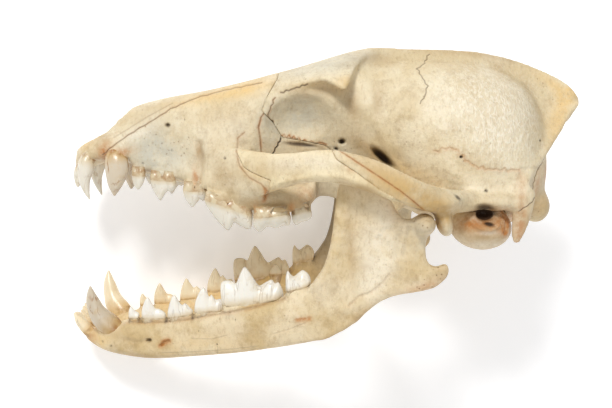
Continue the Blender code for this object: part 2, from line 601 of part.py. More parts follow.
def set_ajar(piece):
    """Turns a piece of the lower jaw, or of its bearings, as the jaw lies against the skull."""
    pivot = Matrix.Translation(Vector(JAW_TURNED_ABOUT) * MM)
    turn = Matrix.Rotation(JAW_YAW, 4, "Y") @ Matrix.Rotation(JAW_ROLL, 4, "X")
    piece.data.transform(pivot @ turn @ pivot.inverted())


def material(name, colour, roughness):
    made = bpy.data.materials.new(name)
    made.use_nodes = True
    shader = made.node_tree.nodes["Principled BSDF"]
    shader.inputs["Base Color"].default_value = (*colour, 1)
    shader.inputs["Roughness"].default_value = roughness
    shader.inputs["Metallic"].default_value = 0.0
    return made


def part_cranium():
    """Braincase, face and cheek bones, parted along the sutures, with the ear capsules."""
    whole = cranium()
    soften(whole, CRANIUM_TRIANGLES)
    keep_largest(whole)
    combine(whole, condyle_room(), "DIFFERENCE")
    knives = [suture_knife("face_knife", FACE_SUTURE, -28, 28)]
    knives += with_twin(cheek_knife())
    combine(whole, knives, "DIFFERENCE")
    homes = {"braincase": (62, 25, 0), "muzzle": (-45, 22, 0), "cheekbone_left": (5, 17, 46),
             "cheekbone_right": (5, 17, -46)}
    nodes = parted(whole, homes)
    sockets = with_twin(ear_capsule("socket", GAP))
    combine(nodes["braincase"], sockets, "DIFFERENCE")
    keep_largest(nodes["braincase"])
    capsules = with_twin(ear_capsule("ear_capsule_left"))
    for side, capsule in zip(("left", "right"), capsules):
        capsule.name = f"ear_capsule_{side}"
        sign = 1 if side == "left" else -1
        ear_hole = ellipsoid("ear_hole", (66.4, -1.2, 33 * sign), (3.9, 2.8, 9))
        combine(capsule, [ear_hole], "DIFFERENCE")
        nodes[capsule.name] = capsule
    upper = teeth(UPPER_GRINDERS, UPPER_POINTS, -1)
    combine(nodes["muzzle"], upper + [mirrored(t, t.name + "_right") for t in upper], "UNION")
    keep_largest(nodes["muzzle"])
    return nodes


def part_jaw():
    """The two halves of the lower jaw with their teeth."""
    left = jaw_half()
    soften(left, JAW_TRIANGLES)
    keep_largest(left)
    combine(left, teeth(LOWER_GRINDERS, LOWER_POINTS, 1), "UNION")
    midline = solid("midline", [[(x, y, z) for x, y in ((-120, -90), (60, -90), (60, 0), (-120, 0))]
                                for z in (-40, GAP / 2)])
    combine(left, [midline], "DIFFERENCE")
    keep_largest(left)
    left.name = "mandible_left"
    right = mirrored(left, "mandible_right")
    for half in (left, right):
        set_ajar(half)
    return {"mandible_left": left, "mandible_right": right}


def lay_down(nodes):
    """Lays the skull on its right side, with small flats where it meets the floor."""
    lie = Matrix.Rotation(LIE_YAW, 4, "Y") @ Matrix.Rotation(LIE_ROLL, 4, "X")
    for piece in nodes:
        piece.data.transform(lie)
    lowest = min(v.co.z for piece in nodes for v in piece.data.vertices)
    floor = lowest + FLAT_DEPTH * MM
    points = [v.co for piece in nodes for v in piece.data.vertices]
    middle = [(min(p[k] for p in points) + max(p[k] for p in points)) / 2 for k in range(2)]
    for piece in nodes:
        for vertex in piece.data.vertices:
            vertex.co.z = max(vertex.co.z, floor)
        piece.data.transform(Matrix.Translation((-middle[0], -middle[1], -floor)))


def main():
    for thing in list(bpy.data.objects):
        bpy.data.objects.remove(thing)
    bone = material("bone", (0.78, 0.68, 0.50), 0.55)
    jaw_bone = material("jaw_bone", (0.76, 0.63, 0.45), 0.55)
    nodes = {**part_cranium(), **part_jaw()}
    for name, piece in nodes.items():
        piece.data.materials.clear()
        piece.data.materials.append(jaw_bone if "mandible" in name else bone)
    lay_down(list(nodes.values()))


main()
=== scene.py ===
"""The looks of a dog's dry skull, life size, that lies on its right side with its jaw open.

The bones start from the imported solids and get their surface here. The teeth are modelled
new, each from its crown's outline. Sizes in the skull's own frame are in millimetres: x runs
back from the nose, y up through the crown and z out to the skull's left.
"""

import math
from collections import namedtuple

import bmesh
import bpy
import numpy as np
from mathutils import Matrix, Vector
from mathutils.bvhtree import BVHTree


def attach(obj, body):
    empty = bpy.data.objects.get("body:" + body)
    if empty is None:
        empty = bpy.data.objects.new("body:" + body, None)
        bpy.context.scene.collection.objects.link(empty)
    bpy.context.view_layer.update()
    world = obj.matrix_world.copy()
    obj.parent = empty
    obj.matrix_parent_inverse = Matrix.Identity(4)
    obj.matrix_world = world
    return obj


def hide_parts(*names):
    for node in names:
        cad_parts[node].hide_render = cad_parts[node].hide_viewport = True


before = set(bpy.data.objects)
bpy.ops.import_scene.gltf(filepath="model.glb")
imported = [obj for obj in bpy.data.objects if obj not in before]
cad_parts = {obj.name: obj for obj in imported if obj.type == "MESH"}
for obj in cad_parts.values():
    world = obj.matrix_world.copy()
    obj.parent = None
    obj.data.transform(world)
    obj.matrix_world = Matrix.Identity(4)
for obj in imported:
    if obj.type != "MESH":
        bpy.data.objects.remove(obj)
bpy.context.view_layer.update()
bpy.ops.object.select_all(action="DESELECT")

# Braincase
# The rear of the skull: brow, braincase, crests, hinge sockets and the back halves of the
# cheek arches. It is dry bone, cleaned and left matt, with the seams of its bones sunk in.
MM = 0.001
# How the skull lies on its side, and the way from its own millimetres to the frame's metres.
LIE = Matrix.Rotation(math.radians(-13.1), 4, "Y") @ Matrix.Rotation(math.radians(12.4), 4, "X")
SHIFT = Vector((-0.0067117, 0.0001606, 0.0434108))
TO_ROW = Matrix.Translation(SHIFT) @ LIE @ Matrix.Scale(MM, 4)

# A groove follows a line and has a half width. Pits and stains are ovals, long by tall and
# turned by so many degrees.
# A mark's dark brown share is dirt in seams and cracks, and painted shade in holes, hollows and the skull's
# inside.
Groove = namedtuple("Groove", "line half depth rust dirt zone", defaults=(0.0, 0.0, (0, 99)))
Pit = namedtuple("Pit", "x y long tall turn depth dirt zone", defaults=(0.8, (0, 99)))
Stain = namedtuple("Stain", "x y long tall turn kind share zone", defaults=((0, 99),))
PAINTS = {"paint": ("rust", "dirt", "grey", "rough"), "tint": ("tan", "yellow", "pale", "spots")}


def in_skull(piece, way=TO_ROW):
    """The piece's points and their outward directions, in the skull's own millimetres."""
    count = len(piece.data.vertices)
    places, turns = np.empty(count * 3), np.empty(count * 3)
    piece.data.vertices.foreach_get("co", places)
    piece.data.vertex_normals.foreach_get("vector", turns)
    back = np.array(way.inverted())
    turn = np.array(way.to_3x3().inverted()) * MM
    return places.reshape(-1, 3) @ back[:3, :3].T + back[:3, 3], turns.reshape(-1, 3) @ turn.T


def put_back(piece, places, way=TO_ROW):
    """Gives the piece's points new places, in the skull's own millimetres."""
    row = np.array(way)
    piece.data.vertices.foreach_set("co", (places @ row[:3, :3].T + row[:3, 3]).ravel())
    piece.data.update()


def around(names):
    """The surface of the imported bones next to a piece, for measuring the gap to it."""
    places, faces = [], []
    for name in names:
        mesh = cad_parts[name].data
        start = len(places)
        places += [v.co.copy() for v in mesh.vertices]
        faces += [[start + i for i in p.vertices] for p in mesh.polygons]
    return BVHTree.FromPolygons(places, faces)


def modify(piece, kind, **settings):
    """Puts one of Blender's modifiers on the piece and applies it."""
    bpy.context.view_layer.objects.active = piece
    step = piece.modifiers.new(kind.lower(), kind)
    for setting, value in settings.items():
        setattr(step, setting, value)
    bpy.ops.object.modifier_apply(modifier=step.name)


# Edges nearer than SEAM_GAP to a neighbour belong to their seam. Smoothing grows from nothing
# there to its full strength at LOOSE_GAP, and points nearer than PRESSED_GAP are pressed
# together until HAIRLINE is left. An edge is sharp from SHARP radians on.
SEAM_GAP = 0.45 * MM
LOOSE_GAP = 1.6 * MM
PRESSED_GAP = 2.4 * SEAM_GAP
HAIRLINE = 0.05 * MM
SHARP = 0.6


def crease_seams(piece, others):
    """Marks the sharp edges that face a neighbour, so that rounding leaves them where they are."""
    shape = bmesh.new()
    shape.from_mesh(piece.data)
    bmesh.ops.remove_doubles(shape, verts=shape.verts, dist=1e-6)
    crease = shape.edges.layers.float.new("crease_edge")
    at_seam = {v for v in shape.verts if others.find_nearest(v.co, SEAM_GAP)[0] is not None}
    for edge in shape.edges:
        if edge.verts[0] in at_seam and edge.verts[1] in at_seam and edge.calc_face_angle(0) > SHARP:
            edge[crease] = 1.0
    shape.to_mesh(piece.data)
    shape.free()


def loosen(piece, others):
    """A group of points that smoothing may move: all of them, but less and less near a seam."""
    loose = piece.vertex_groups.new(name="loose")
    loose.add(range(len(piece.data.vertices)), 1.0, "REPLACE")
    for vertex in piece.data.vertices:
        spot, _, _, gap = others.find_nearest(vertex.co, LOOSE_GAP)
        if spot is not None:
            share = max(0.0, (gap - SEAM_GAP) / (LOOSE_GAP - SEAM_GAP)) ** 2
            loose.add([vertex.index], share, "REPLACE")


def press_seams(piece, others):
    """Moves a seam's points halfway to the neighbour, which does the same, but for a hairline."""
    for vertex in piece.data.vertices:
        spot, _, _, gap = others.find_nearest(vertex.co, PRESSED_GAP)
        if spot is not None and gap > HAIRLINE:
            press = min(1.0, (PRESSED_GAP - gap) / SEAM_GAP)
            vertex.co += (spot - vertex.co) * (press * (gap - HAIRLINE) / (2 * gap))


def grown_bone(node, name, cell, rounds, beside, trim=None):
    """A fine copy of a packed bone: facets rounded, skin rebuilt in small cells, seams kept tight."""
    others = around(beside)
    piece = bpy.data.objects.new(name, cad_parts[node].data.copy())
    bpy.context.collection.objects.link(piece)
    crease_seams(piece, others)
    if trim:
        trim(piece)
    modify(piece, "SUBSURF", levels=1, render_levels=1)
    modify(piece, "REMESH", mode="VOXEL", voxel_size=cell * MM, use_smooth_shade=True)
    loosen(piece, others)
    modify(piece, "SMOOTH", factor=0.5, iterations=rounds, vertex_group="loose")
    press_seams(piece, others)
    piece.vertex_groups.clear()
    piece.data.materials.clear()
    return piece


def away_from(line, flat):
    """How far each flat point lies from a line of straight stretches."""
    nearest = np.full(len(flat), 1e9)
    for a, b in zip(line, line[1:]):
        a, b = np.array(a, float), np.array(b, float)
        along = np.clip(((flat - a) @ (b - a)) / ((b - a) @ (b - a)), 0, 1)
        nearest = np.minimum(nearest, np.linalg.norm(flat - a - along[:, None] * (b - a), axis=1))
    return nearest


def jagged(line, size, step):
    """The same line with small zigzags, as where two bones interlock."""
    points = []
    side = 1
    for a, b in zip(line, line[1:]):
        a, b = Vector(a), Vector(b)
        count = max(1, round((b - a).length / step))
        across = Vector((a.y - b.y, b.x - a.x)).normalized()
        for i in range(count):
            wobble = side * size * (0.55 + 0.45 * math.sin(7.3 * len(points)))
            points.append(tuple(a.lerp(b, i / count) + across * wobble))
            side = -side
    return points + [tuple(line[-1])]


def oval(mark, flat):
    """Squared distance from a mark's middle, where 1 is its edge."""
    c, s = math.cos(math.radians(mark.turn)), math.sin(math.radians(mark.turn))
    dx, dy = flat[:, 0] - mark.x, flat[:, 1] - mark.y
    return ((dx * c + dy * s) / mark.long) ** 2 + ((dy * c - dx * s) / mark.tall) ** 2


# Grooves with a half width under FINE get smaller cells, in two rounds, out to these reaches.
FINE = 0.6
REACHES = (1.3, 0.7)


def finer_along(piece, grooves, way):
    """Splits the skin's cells along the fine grooves, twice, so that they come out sharp."""
    for reach in REACHES:
        shape = bmesh.new()
        shape.from_mesh(piece.data)
        faces = list(shape.faces)
        back = np.array(way.inverted())
        middles = np.array([f.calc_center_median() for f in faces]) @ back[:3, :3].T + back[:3, 3]
        chosen = set()
        for groove in grooves:
            if groove.half < FINE:
                depth = np.abs(middles[:, 2])
                close = away_from(groove.line, middles[:, :2]) < groove.half + reach
                close &= (depth > groove.zone[0]) & (depth < groove.zone[1])
                chosen.update(np.flatnonzero(close))
        edges = {edge for index in chosen for edge in faces[index].edges}
        bmesh.ops.subdivide_edges(shape, edges=list(edges), cuts=1, use_grid_fill=True)
        for face in shape.faces:
            face.smooth = True
        shape.to_mesh(piece.data)
        shape.free()


# How soon a surface that turns sideways takes a mark in full, how many half widths rust creeps
# out of a groove, the most that grooves and holes add up to, in millimetres, and the most
# triangles of a piece.
TURNS_IN = 2.2
RUST_CREEP = 1.9
HIGHEST_RIDGE, DEEPEST_GROOVE, DEEPEST_HOLE = 1.5, 2.0, 7.0
MOST_TRIANGLES = 185000


def weather(piece, grooves=(), pits=(), stains=(), way=TO_ROW):
    """Sinks grooves and pits into both sides of a bone and paints its stains.

    A mark's zone is the span of distances from the skull's middle plane that it reaches, or
    of places across it where the span starts under zero. A groove of a depth under zero is a
    ridge. A piece of too many triangles is thinned at the end.
    """
    finer_along(piece, grooves, way)
    places, turns = in_skull(piece, way)
    flat, depth = places[:, :2], np.abs(places[:, 2])
    outward = np.sign(places[:, 2]) * turns[:, 2]
    facing = np.clip(outward * TURNS_IN, 0, 1)
    share = {kind: np.zeros(len(flat)) for kinds in PAINTS.values() for kind in kinds}
    sink, hole = np.zeros(len(flat)), np.zeros(len(flat))

    def within(zone):
        across = places[:, 2] if zone[0] < 0 else depth
        return (across > zone[0]) & (across < zone[1])

    # A groove's dark share is dirt in a seam or crack, and painted shade where the groove is a broad hollow.
    for groove in grooves:
        away = away_from(groove.line, flat)
        close = np.exp(-((away / groove.half) ** 2)) * facing * within(groove.zone)
        rusted = np.exp(-((away / (groove.half * RUST_CREEP)) ** 2)) * facing * within(groove.zone)
        sink += close * groove.depth
        share["rust"] += rusted * groove.rust
        share["dirt"] += close * groove.dirt
    # A pit's dark inside is painted shade of the hole.
    for pit in pits:
        inside = np.exp(-(oval(pit, flat) ** 2)) * facing * within(pit.zone)
        hole += inside * pit.depth
        share["dirt"] += inside * pit.dirt
    for stain in stains:
        share[stain.kind] += np.exp(-oval(stain, flat)) * stain.share * within(stain.zone)
    places = places - turns * np.clip(sink, -HIGHEST_RIDGE, DEEPEST_GROOVE)[:, None]
    places[:, 2] -= np.sign(places[:, 2]) * np.minimum(hole, DEEPEST_HOLE)
    put_back(piece, places, way)
    for name, kinds in PAINTS.items():
        layer = piece.data.color_attributes.new(name, "FLOAT_COLOR", "POINT")
        layer.data.foreach_set("color", np.stack([share[k] for k in kinds], axis=1).clip(0, 1).ravel())
    count = sum(len(face.vertices) - 2 for face in piece.data.polygons)
    if count > MOST_TRIANGLES:
        modify(piece, "DECIMATE", ratio=MOST_TRIANGLES / count)


def link(tree, start, end):
    """Joins two sockets of a material."""
    tree.links.new(start, end)


def noise(tree, spots, scale, detail, rough=0.55, stretch=(1, 1, 1), swirl=0.0):
    """Soft noise over the piece, so many lumps to the metre, drawn out along an axis by stretch."""
    node = tree.nodes.new("ShaderNodeTexNoise")
    node.inputs["Scale"].default_value = scale
    node.inputs["Detail"].default_value = detail
    node.inputs["Roughness"].default_value = rough
    node.inputs["Distortion"].default_value = swirl
    if stretch != (1, 1, 1):
        drawn = tree.nodes.new("ShaderNodeMapping")
        drawn.inputs["Scale"].default_value = stretch
        link(tree, spots, drawn.inputs["Vector"])
        spots = drawn.outputs["Vector"]
    link(tree, spots, node.inputs["Vector"])
    return node.outputs["Fac"]


def levels(tree, value, low, high):
    """The value stretched so that low becomes 0 and high becomes 1."""
    node = tree.nodes.new("ShaderNodeMapRange")
    node.inputs["From Min"].default_value = low
    node.inputs["From Max"].default_value = high
    link(tree, value, node.inputs["Value"])
    return node.outputs["Result"]


def sums(tree, kind, a, b):
    """Two values put together by a sum of the given kind, b a socket or a number."""
    node = tree.nodes.new("ShaderNodeMath")
    node.operation = kind
    link(tree, a, node.inputs[0])
    if isinstance(b, float):
        node.inputs[1].default_value = b
    else:
        link(tree, b, node.inputs[1])
    return node.outputs["Value"]


def times(tree, a, b):
    """Two values multiplied."""
    return sums(tree, "MULTIPLY", a, b)


def threads(tree, value, width):
    """1 along the winding lines where a noise crosses its middle, 0 away from them."""
    return levels(tree, sums(tree, "ABSOLUTE", sums(tree, "SUBTRACT", value, 0.5), 0.0), width, 0.0)


def blend(tree, share, under, over):
    """One colour laid over another by share; each is a socket or three numbers."""
    node = tree.nodes.new("ShaderNodeMix")
    node.data_type = "RGBA"
    link(tree, share, node.inputs["Factor"])
    for key, colour in (("A", under), ("B", over)):
        socket = next(i for i in node.inputs if i.name == key and i.type == "RGBA")
        if isinstance(colour, tuple):
            socket.default_value = (*colour, 1)
        else:
            link(tree, colour, socket)
    return next(o for o in node.outputs if o.type == "RGBA")


def painted(tree, name):
    """The red, green, blue and alpha values of a painted layer."""
    layer = tree.nodes.new("ShaderNodeAttribute")
    layer.attribute_name = name
    parts = tree.nodes.new("ShaderNodeSeparateColor")
    link(tree, layer.outputs["Color"], parts.inputs["Color"])
    return [parts.outputs[c] for c in ("Red", "Green", "Blue")] + [layer.outputs["Alpha"]]


def relief(tree, shader, heights):
    """Stacks bumps on a shader, each a height, its size in metres and its strength."""
    last = None
    for height, distance, strength in heights:
        bump = tree.nodes.new("ShaderNodeBump")
        bump.inputs["Distance"].default_value = distance
        bump.inputs["Strength"].default_value = strength
        link(tree, height, bump.inputs["Height"])
        if last:
            link(tree, last, bump.inputs["Normal"])
        last = bump.outputs["Normal"]
    link(tree, last, shader.inputs["Normal"])


RUST = (0.47, 0.17, 0.025)
# Dark brown of dirt in seams and of painted shade in holes, hollows and between parts.
DIRT_AND_SHADE = (0.032, 0.013, 0.006)
GREY = (0.50, 0.475, 0.385)
TAN = (0.43, 0.275, 0.11)
YELLOW = (0.76, 0.52, 0.21)
PALE = (0.88, 0.81, 0.66)
PORE_BROWN = (0.26, 0.13, 0.04)


def mottled(tree, spots, pale, warm, shade):
    """Pale bone with warm patches and smaller brown flecks."""
    patches = levels(tree, noise(tree, spots, 46, 8, 0.6), 0.42, 0.60)
    flecks = levels(tree, noise(tree, spots, 115, 9, 0.72), 0.52, 0.72)
    return blend(tree, times(tree, flecks, 0.75), blend(tree, patches, pale, warm), shade)


def pores(tree, spots, dotted):
    """Fine round pores: a few everywhere, and many where a bone is painted with spots."""
    cells = tree.nodes.new("ShaderNodeTexVoronoi")
    cells.inputs["Scale"].default_value = 560
    link(tree, spots, cells.inputs["Vector"])
    pore = levels(tree, cells.outputs["Distance"], 0.20, 0.06)
    scarce = times(tree, pore, levels(tree, noise(tree, spots, 75, 3), 0.54, 0.66))
    dense = times(tree, pore, levels(tree, dotted, 0.15, 0.6))
    return sums(tree, "MAXIMUM", times(tree, scarce, 0.6), dense)


def hairlines(tree, spots):
    """Thin winding lines in some places, as the marks of vessels on dry bone."""
    hair = threads(tree, noise(tree, spots, 95, 5, 0.6, (0.6, 1.7, 1.0)), 0.006)
    return times(tree, hair, levels(tree, noise(tree, spots, 50, 3), 0.52, 0.62))


def bone_material(name, pale, warm, shade, gloss=0.5):
    """Dry bone: warm tones in patches, fine pores and threads, and the painted marks."""
    made = bpy.data.materials.new(name)
    made.use_nodes = True
    tree = made.node_tree
    shader = tree.nodes["Principled BSDF"]
    spots = tree.nodes.new("ShaderNodeTexCoord").outputs["Object"]
    rust, dirt, grey, coarse = painted(tree, "paint")
    tan, yellow, pale_and_highlight, dotted = painted(tree, "tint")

    colour = mottled(tree, spots, pale, warm, shade)
    patchy = levels(tree, noise(tree, spots, 120, 6, 0.65), 0.20, 0.50)
    # The pale paint is partly paler bone and partly painted highlight on lit faces.
    paints = ((tan, TAN, 1.0), (yellow, YELLOW, 0.95), (grey, GREY, 0.85), (pale_and_highlight, PALE, 0.9))
    for share, tone, most in paints:
        colour = blend(tree, times(tree, times(tree, share, patchy), most), colour, tone)
    grain = noise(tree, spots, 520, 6, 0.75, (1.6, 0.7, 1.0))
    colour = blend(tree, times(tree, levels(tree, grain, 0.50, 0.74), 0.55), colour, shade)
    colour = blend(tree, times(tree, hairlines(tree, spots), 0.35), colour, TAN)
    pore = pores(tree, spots, dotted)
    colour = blend(tree, times(tree, pore, 0.75), colour, PORE_BROWN)

    worms = threads(tree, noise(tree, spots, 430, 1, 0.5, (1.7, 0.6, 1.0), 0.5), 0.085)
    worms = times(tree, worms, coarse)
    colour = blend(tree, times(tree, worms, 0.7), colour, PALE)
    between = times(tree, sums(tree, "SUBTRACT", coarse, worms), 0.16)
    colour = blend(tree, between, colour, TAN)

    broken = levels(tree, noise(tree, spots, 380, 6, 0.7), 0.25, 0.55)
    colour = blend(tree, times(tree, times(tree, rust, broken), 0.9), colour, RUST)
    # Dark brown: dirt in seams, and painted shade in holes, hollows and between parts.
    colour = blend(tree, times(tree, dirt, 0.94), colour, DIRT_AND_SHADE)
    link(tree, colour, shader.inputs["Base Color"])

    shine = tree.nodes.new("ShaderNodeMapRange")
    shine.inputs["From Min"].default_value = 0.25
    shine.inputs["From Max"].default_value = 0.75
    shine.inputs["To Min"].default_value = gloss - 0.10
    shine.inputs["To Max"].default_value = gloss + 0.12
    link(tree, noise(tree, spots, 200, 4), shine.inputs["Value"])
    link(tree, shine.outputs["Result"], shader.inputs["Roughness"])
    shader.inputs["Subsurface Weight"].default_value = 0.06
    shader.inputs["Subsurface Radius"].default_value = (0.0018, 0.0011, 0.0006)

    relief(tree, shader, [(noise(tree, spots, 110, 6, 0.6), 0.0024, 0.6), (grain, 0.0004, 0.6),
                          (worms, 0.0003, 0.35), (times(tree, pore, -1.0), 0.0004, 0.8)])
    return made


# The marks' places were read off the photograph. wall is the braincase proper and arm its
# half of the cheek arch, as distances from the middle plane.
wall, arm = (0, 36), (36, 99)
brow_seam = jagged([(-11.8, 42), (-13.4, 37.6), (-14.4, 35.2), (-12.9, 32.9), (-11.8, 29.2), (-9.8, 27.2)],
                   0.35, 1.3)
eye_seam = [(-9.2, 27.3), (-8.3, 27.9), (-7.4, 26.6), (-6.4, 27.8), (-5.5, 26.2), (-4.6, 27.3),
            (-3.8, 25.6), (-2.9, 26.8), (-1.9, 25.0), (-0.6, 25.9), (0.6, 24.5), (2.0, 25.4),
            (3.4, 24.2), (5.2, 24.9), (7.7, 24.2)]
roof_seam = jagged([(-9.5, 43.8), (-4.5, 45.3), (0.5, 46.9)], 0.3, 1.1)
crown_seam = jagged([(48.4, 59.4), (46.0, 55.5), (42.7, 53.3), (43.8, 50.3), (45.7, 46.5), (44.6, 42.7),
                     (42.7, 39.7)], 0.35, 1.2)
temple_seam = jagged([(47.8, 21.9), (53.0, 23.4), (55.9, 22.3), (58.9, 19.0), (62.6, 16.4), (67.7, 15.3),
                      (79, 15.0)], 0.6, 1.4)
neck_seam = jagged([(90.9, 19.5), (86.8, 14.2), (85.6, 9.7), (85.6, 5.3), (83.0, 2.6), (78.5, 0.0)],
                   0.25, 1.3)
cheek_seam = [(11.1, 23.5), (17.7, 19.1), (25.1, 14.3), (32.4, 9.4), (36.9, 5.9), (41.8, 1.7)]
temple_line = [(13.4, 42.0), (15.2, 45.4), (16.7, 49.6), (18.6, 54.2), (22.8, 58.0)]
brow_hollow = [(17.4, 44.2), (16.8, 41.2), (18.1, 37.4), (22.4, 33.0), (25.5, 27.5)]
temple_dip = [(26.8, 46.6), (27.4, 41.1), (26.4, 35.7)]
temple_ridge = [(27.0, 33.0), (29.5, 26.0), (33.0, 18.5), (37.5, 13.5)]
ear_shelf = [(80.0, 15.6), (84.0, 15.9), (88.5, 15.2)]
behind_ear = [(80.0, 13), (79.7, 4.7), (80.5, -3.6), (79.0, -13.0)]
neighbours = ["muzzle", "cheekbone_left", "cheekbone_right", "ear_capsule_left", "ear_capsule_right"]
braincase = grown_bone("braincase", "braincase_bone", 0.72, 4, neighbours)
weather(
    braincase,
    # The small dark share of the brow's hollow and the ear's shelf is painted shade.
    grooves=[
        Groove(brow_seam, 0.22, 0.3, 0.5, 0.55, wall), Groove(eye_seam, 0.28, 0.35, 1.0, 0.2, wall),
        Groove(roof_seam, 0.3, 0.3, 0.2, 0.7, wall), Groove(crown_seam, 0.2, 0.25, 0.1, 0.62, wall),
        Groove(temple_seam, 0.35, 0.22, 0.45, 0.05, wall), Groove(neck_seam, 0.2, 0.3, 0.2, 0.7, wall),
        Groove(cheek_seam, 0.2, 0.15, 0.9, 0.3, arm), Groove(temple_line, 0.8, -0.4, 0.0, 0.0, wall),
        Groove(brow_hollow, 2.2, 0.7, 0.0, 0.05, wall), Groove(temple_dip, 1.8, 0.45, 0.0, 0.0, wall),
        Groove(temple_ridge, 1.3, -0.5, 0.0, 0.0, wall), Groove(ear_shelf, 0.5, 0.2, 0.0, 0.1, wall),
        Groove(behind_ear, 1.0, 0.35, 0.35, 0.0, wall),
    ],
    # The pits' dark insides are painted shade.
    pits=[
        # Holes for nerves at the back of the eye's hollow
        Pit(13.8, 25.4, 1.2, 1.0, 0, 3.5, 1.0, wall), Pit(11.6, 22.6, 0.9, 0.6, -30, 1.5, 0.9, wall),
        Pit(29.6, 19.4, 5.2, 1.5, -40, 6.0, 1.0, wall),
        # Small holes for veins over the cheek arch and at the nape
        Pit(54.6, 5.8, 1.5, 0.6, -35, 2.0, 1.0), Pit(67.0, 7.3, 0.6, 0.5, 0, 1.4, 1.0),
        Pit(57.4, 20.0, 0.6, 0.5, 0, 1.2, 1.0, wall), Pit(88.8, 25.6, 0.5, 0.4, 0, 1.0, 0.9),
        # Over and behind the mouth of the ear
        Pit(66.4, 0.9, 3.4, 1.7, -10, 2.2, 0.9), Pit(74.4, -2.4, 1.0, 3.0, 12, 1.6, 0.15),
    ],
    stains=[
        # Yellowed crests; the thin tan bands along the top edge are painted shade
        Stain(105, 43.5, 6.5, 3.4, 35, "yellow", 1.0), Stain(98, 47, 9, 2.6, -38, "yellow", 0.75),
        Stain(98, 33, 3.2, 11, -28, "yellow", 0.7), Stain(106.2, 42.2, 1.6, 1.6, 0, "dirt", 0.25),
        Stain(101, 39, 4, 6, 30, "spots", 0.35), Stain(26, 57.5, 10, 3, -4, "tan", 0.5),
        Stain(60, 60.5, 40, 2.2, -6, "tan", 0.55),
        # Nape and the neck's knobs; the dark near the middle is painted shade inside the opening between them
        Stain(93.5, 13, 2.6, 4.0, 0, "rust", 0.9), Stain(87.5, 9, 1.3, 5.5, -8, "rust", 0.55),
        Stain(91, 2.5, 6, 7, 0, "tan", 0.6), Stain(98, 8, 3, 6, 0, "rust", 0.4, (3, 12)),
        Stain(90, 4.5, 9, 5.5, 0, "dirt", 0.9, (0, 7.4)),
        # Brow and the eye's hollow; the grey band at the brow's top edge is painted shade
        Stain(-2, 35.5, 13, 8, 0, "grey", 0.95, wall), Stain(-1, 46, 10, 2.6, 12, "yellow", 0.5),
        Stain(3, 44.0, 9, 2.4, 10, "tan", 0.55, wall), Stain(14, 47, 4, 3.0, 30, "yellow", 0.6),
        Stain(15, 45.5, 3, 2, 0, "spots", 0.5), Stain(8, 55, 20, 4.0, 12, "grey", 0.7),
        # Temple; the two narrow tan streaks in the brow's and the temple's hollows are painted shade
        Stain(17.5, 40, 2.2, 8, 10, "tan", 0.7, wall), Stain(26.8, 41, 1.8, 5.5, 0, "tan", 0.55, wall),
        Stain(24, 22, 8, 2.5, -35, "tan", 0.8, wall), Stain(40, 14, 14, 3.4, -28, "yellow", 0.5, wall),
        Stain(64, 9, 20, 4, -4, "pale", 0.4, wall), Stain(76, 52, 10, 5, -15, "tan", 0.25),
        Stain(86, 36, 8, 12, 0, "grey", 0.35), Stain(74, 30, 12, 15, 0, "pale", 0.5),
        Stain(54, 40, 14, 9, 0, "pale", 0.35),
        # Where the chewing muscle has left its pale threads
        Stain(74, 28, 14, 12, 0, "rough", 0.9), Stain(70, 44, 18, 10, -10, "rough", 0.75),
        Stain(58, 34, 12, 14, 0, "rough", 0.35),
        # Cheek arch and hinge
        Stain(33, 10, 17, 4.6, -33, "tan", 1.0, arm), Stain(46, 3, 8, 4, -20, "tan", 0.8, arm),
        Stain(36, 8, 20, 6, -33, "yellow", 0.6, arm), Stain(47.5, -3.5, 5, 4, 0, "tan", 0.9),
        # Round the ear
        Stain(66.5, -1, 8, 5, 0, "tan", 0.7), Stain(70.5, -0.5, 5, 2, 0, "rust", 0.55),
        Stain(82, -6, 3, 6, 0, "tan", 0.45), Stain(79, -6, 2.4, 8, 0, "rust", 0.5, wall),
        # Underside, near the middle, darkened as painted shade of the skull's inside
        Stain(20, 8, 10, 14, 0, "dirt", 0.35, (0, 16)),
    ],
)
braincase.data.materials.append(
    bone_material("pale_bone", (0.79, 0.69, 0.485), (0.68, 0.55, 0.33), (0.43, 0.31, 0.16))
)
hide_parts("braincase")
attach(braincase, "root")

# Muzzle
# The face: nasal bones, both upper jaws, the palate and the bones before the eye. Thin and
# smooth over the tooth roots, it was parted from the braincase along the brow's seam.


# How much room is cleared round a packed tooth along the row and across it, and how far out a
# pointed one can stand, in millimetres.
ROOM_ALONG, ROOM_ACROSS, LONGEST = 1.2, 0.8, 22


def trimmed(crowns, points, up, past_neck, way=TO_ROW):
    """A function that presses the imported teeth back, past their necks, for new ones to stand on."""

    def trim(piece):
        places, _ = in_skull(piece, way)
        for i, (x, y, z) in enumerate(places):
            depth = abs(z)
            for z0, width, outline in crowns.values():
                (xa, ya), (xb, yb) = outline[0], outline[-1]
                beside = abs(depth - z0) < width / 2 + ROOM_ACROSS
                if beside and xa - ROOM_ALONG < x < xb + ROOM_ALONG:
                    neck = ya + (yb - ya) * min(1, max(0, (x - xa) / (xb - xa)))
                    if up * (y - neck) > -past_neck:
                        places[i][1] = neck - up * past_neck
            for stations in points.values():
                neck, tip = np.array(stations[1][:3]), np.array(stations[-1][:3])
                along = (tip - neck) / np.linalg.norm(tip - neck)
                out = np.array([x, y, depth]) - neck
                past = out @ along
                wide = max(s[3] for s in stations) + ROOM_ALONG
                if 0 < past < LONGEST and np.linalg.norm(out - along * past) < wide:
                    inward = math.copysign(along[2] * past, z)
                    places[i] = (x - along[0] * past, y - along[1] * past, z - inward)
        put_back(piece, places, way)

    return trim


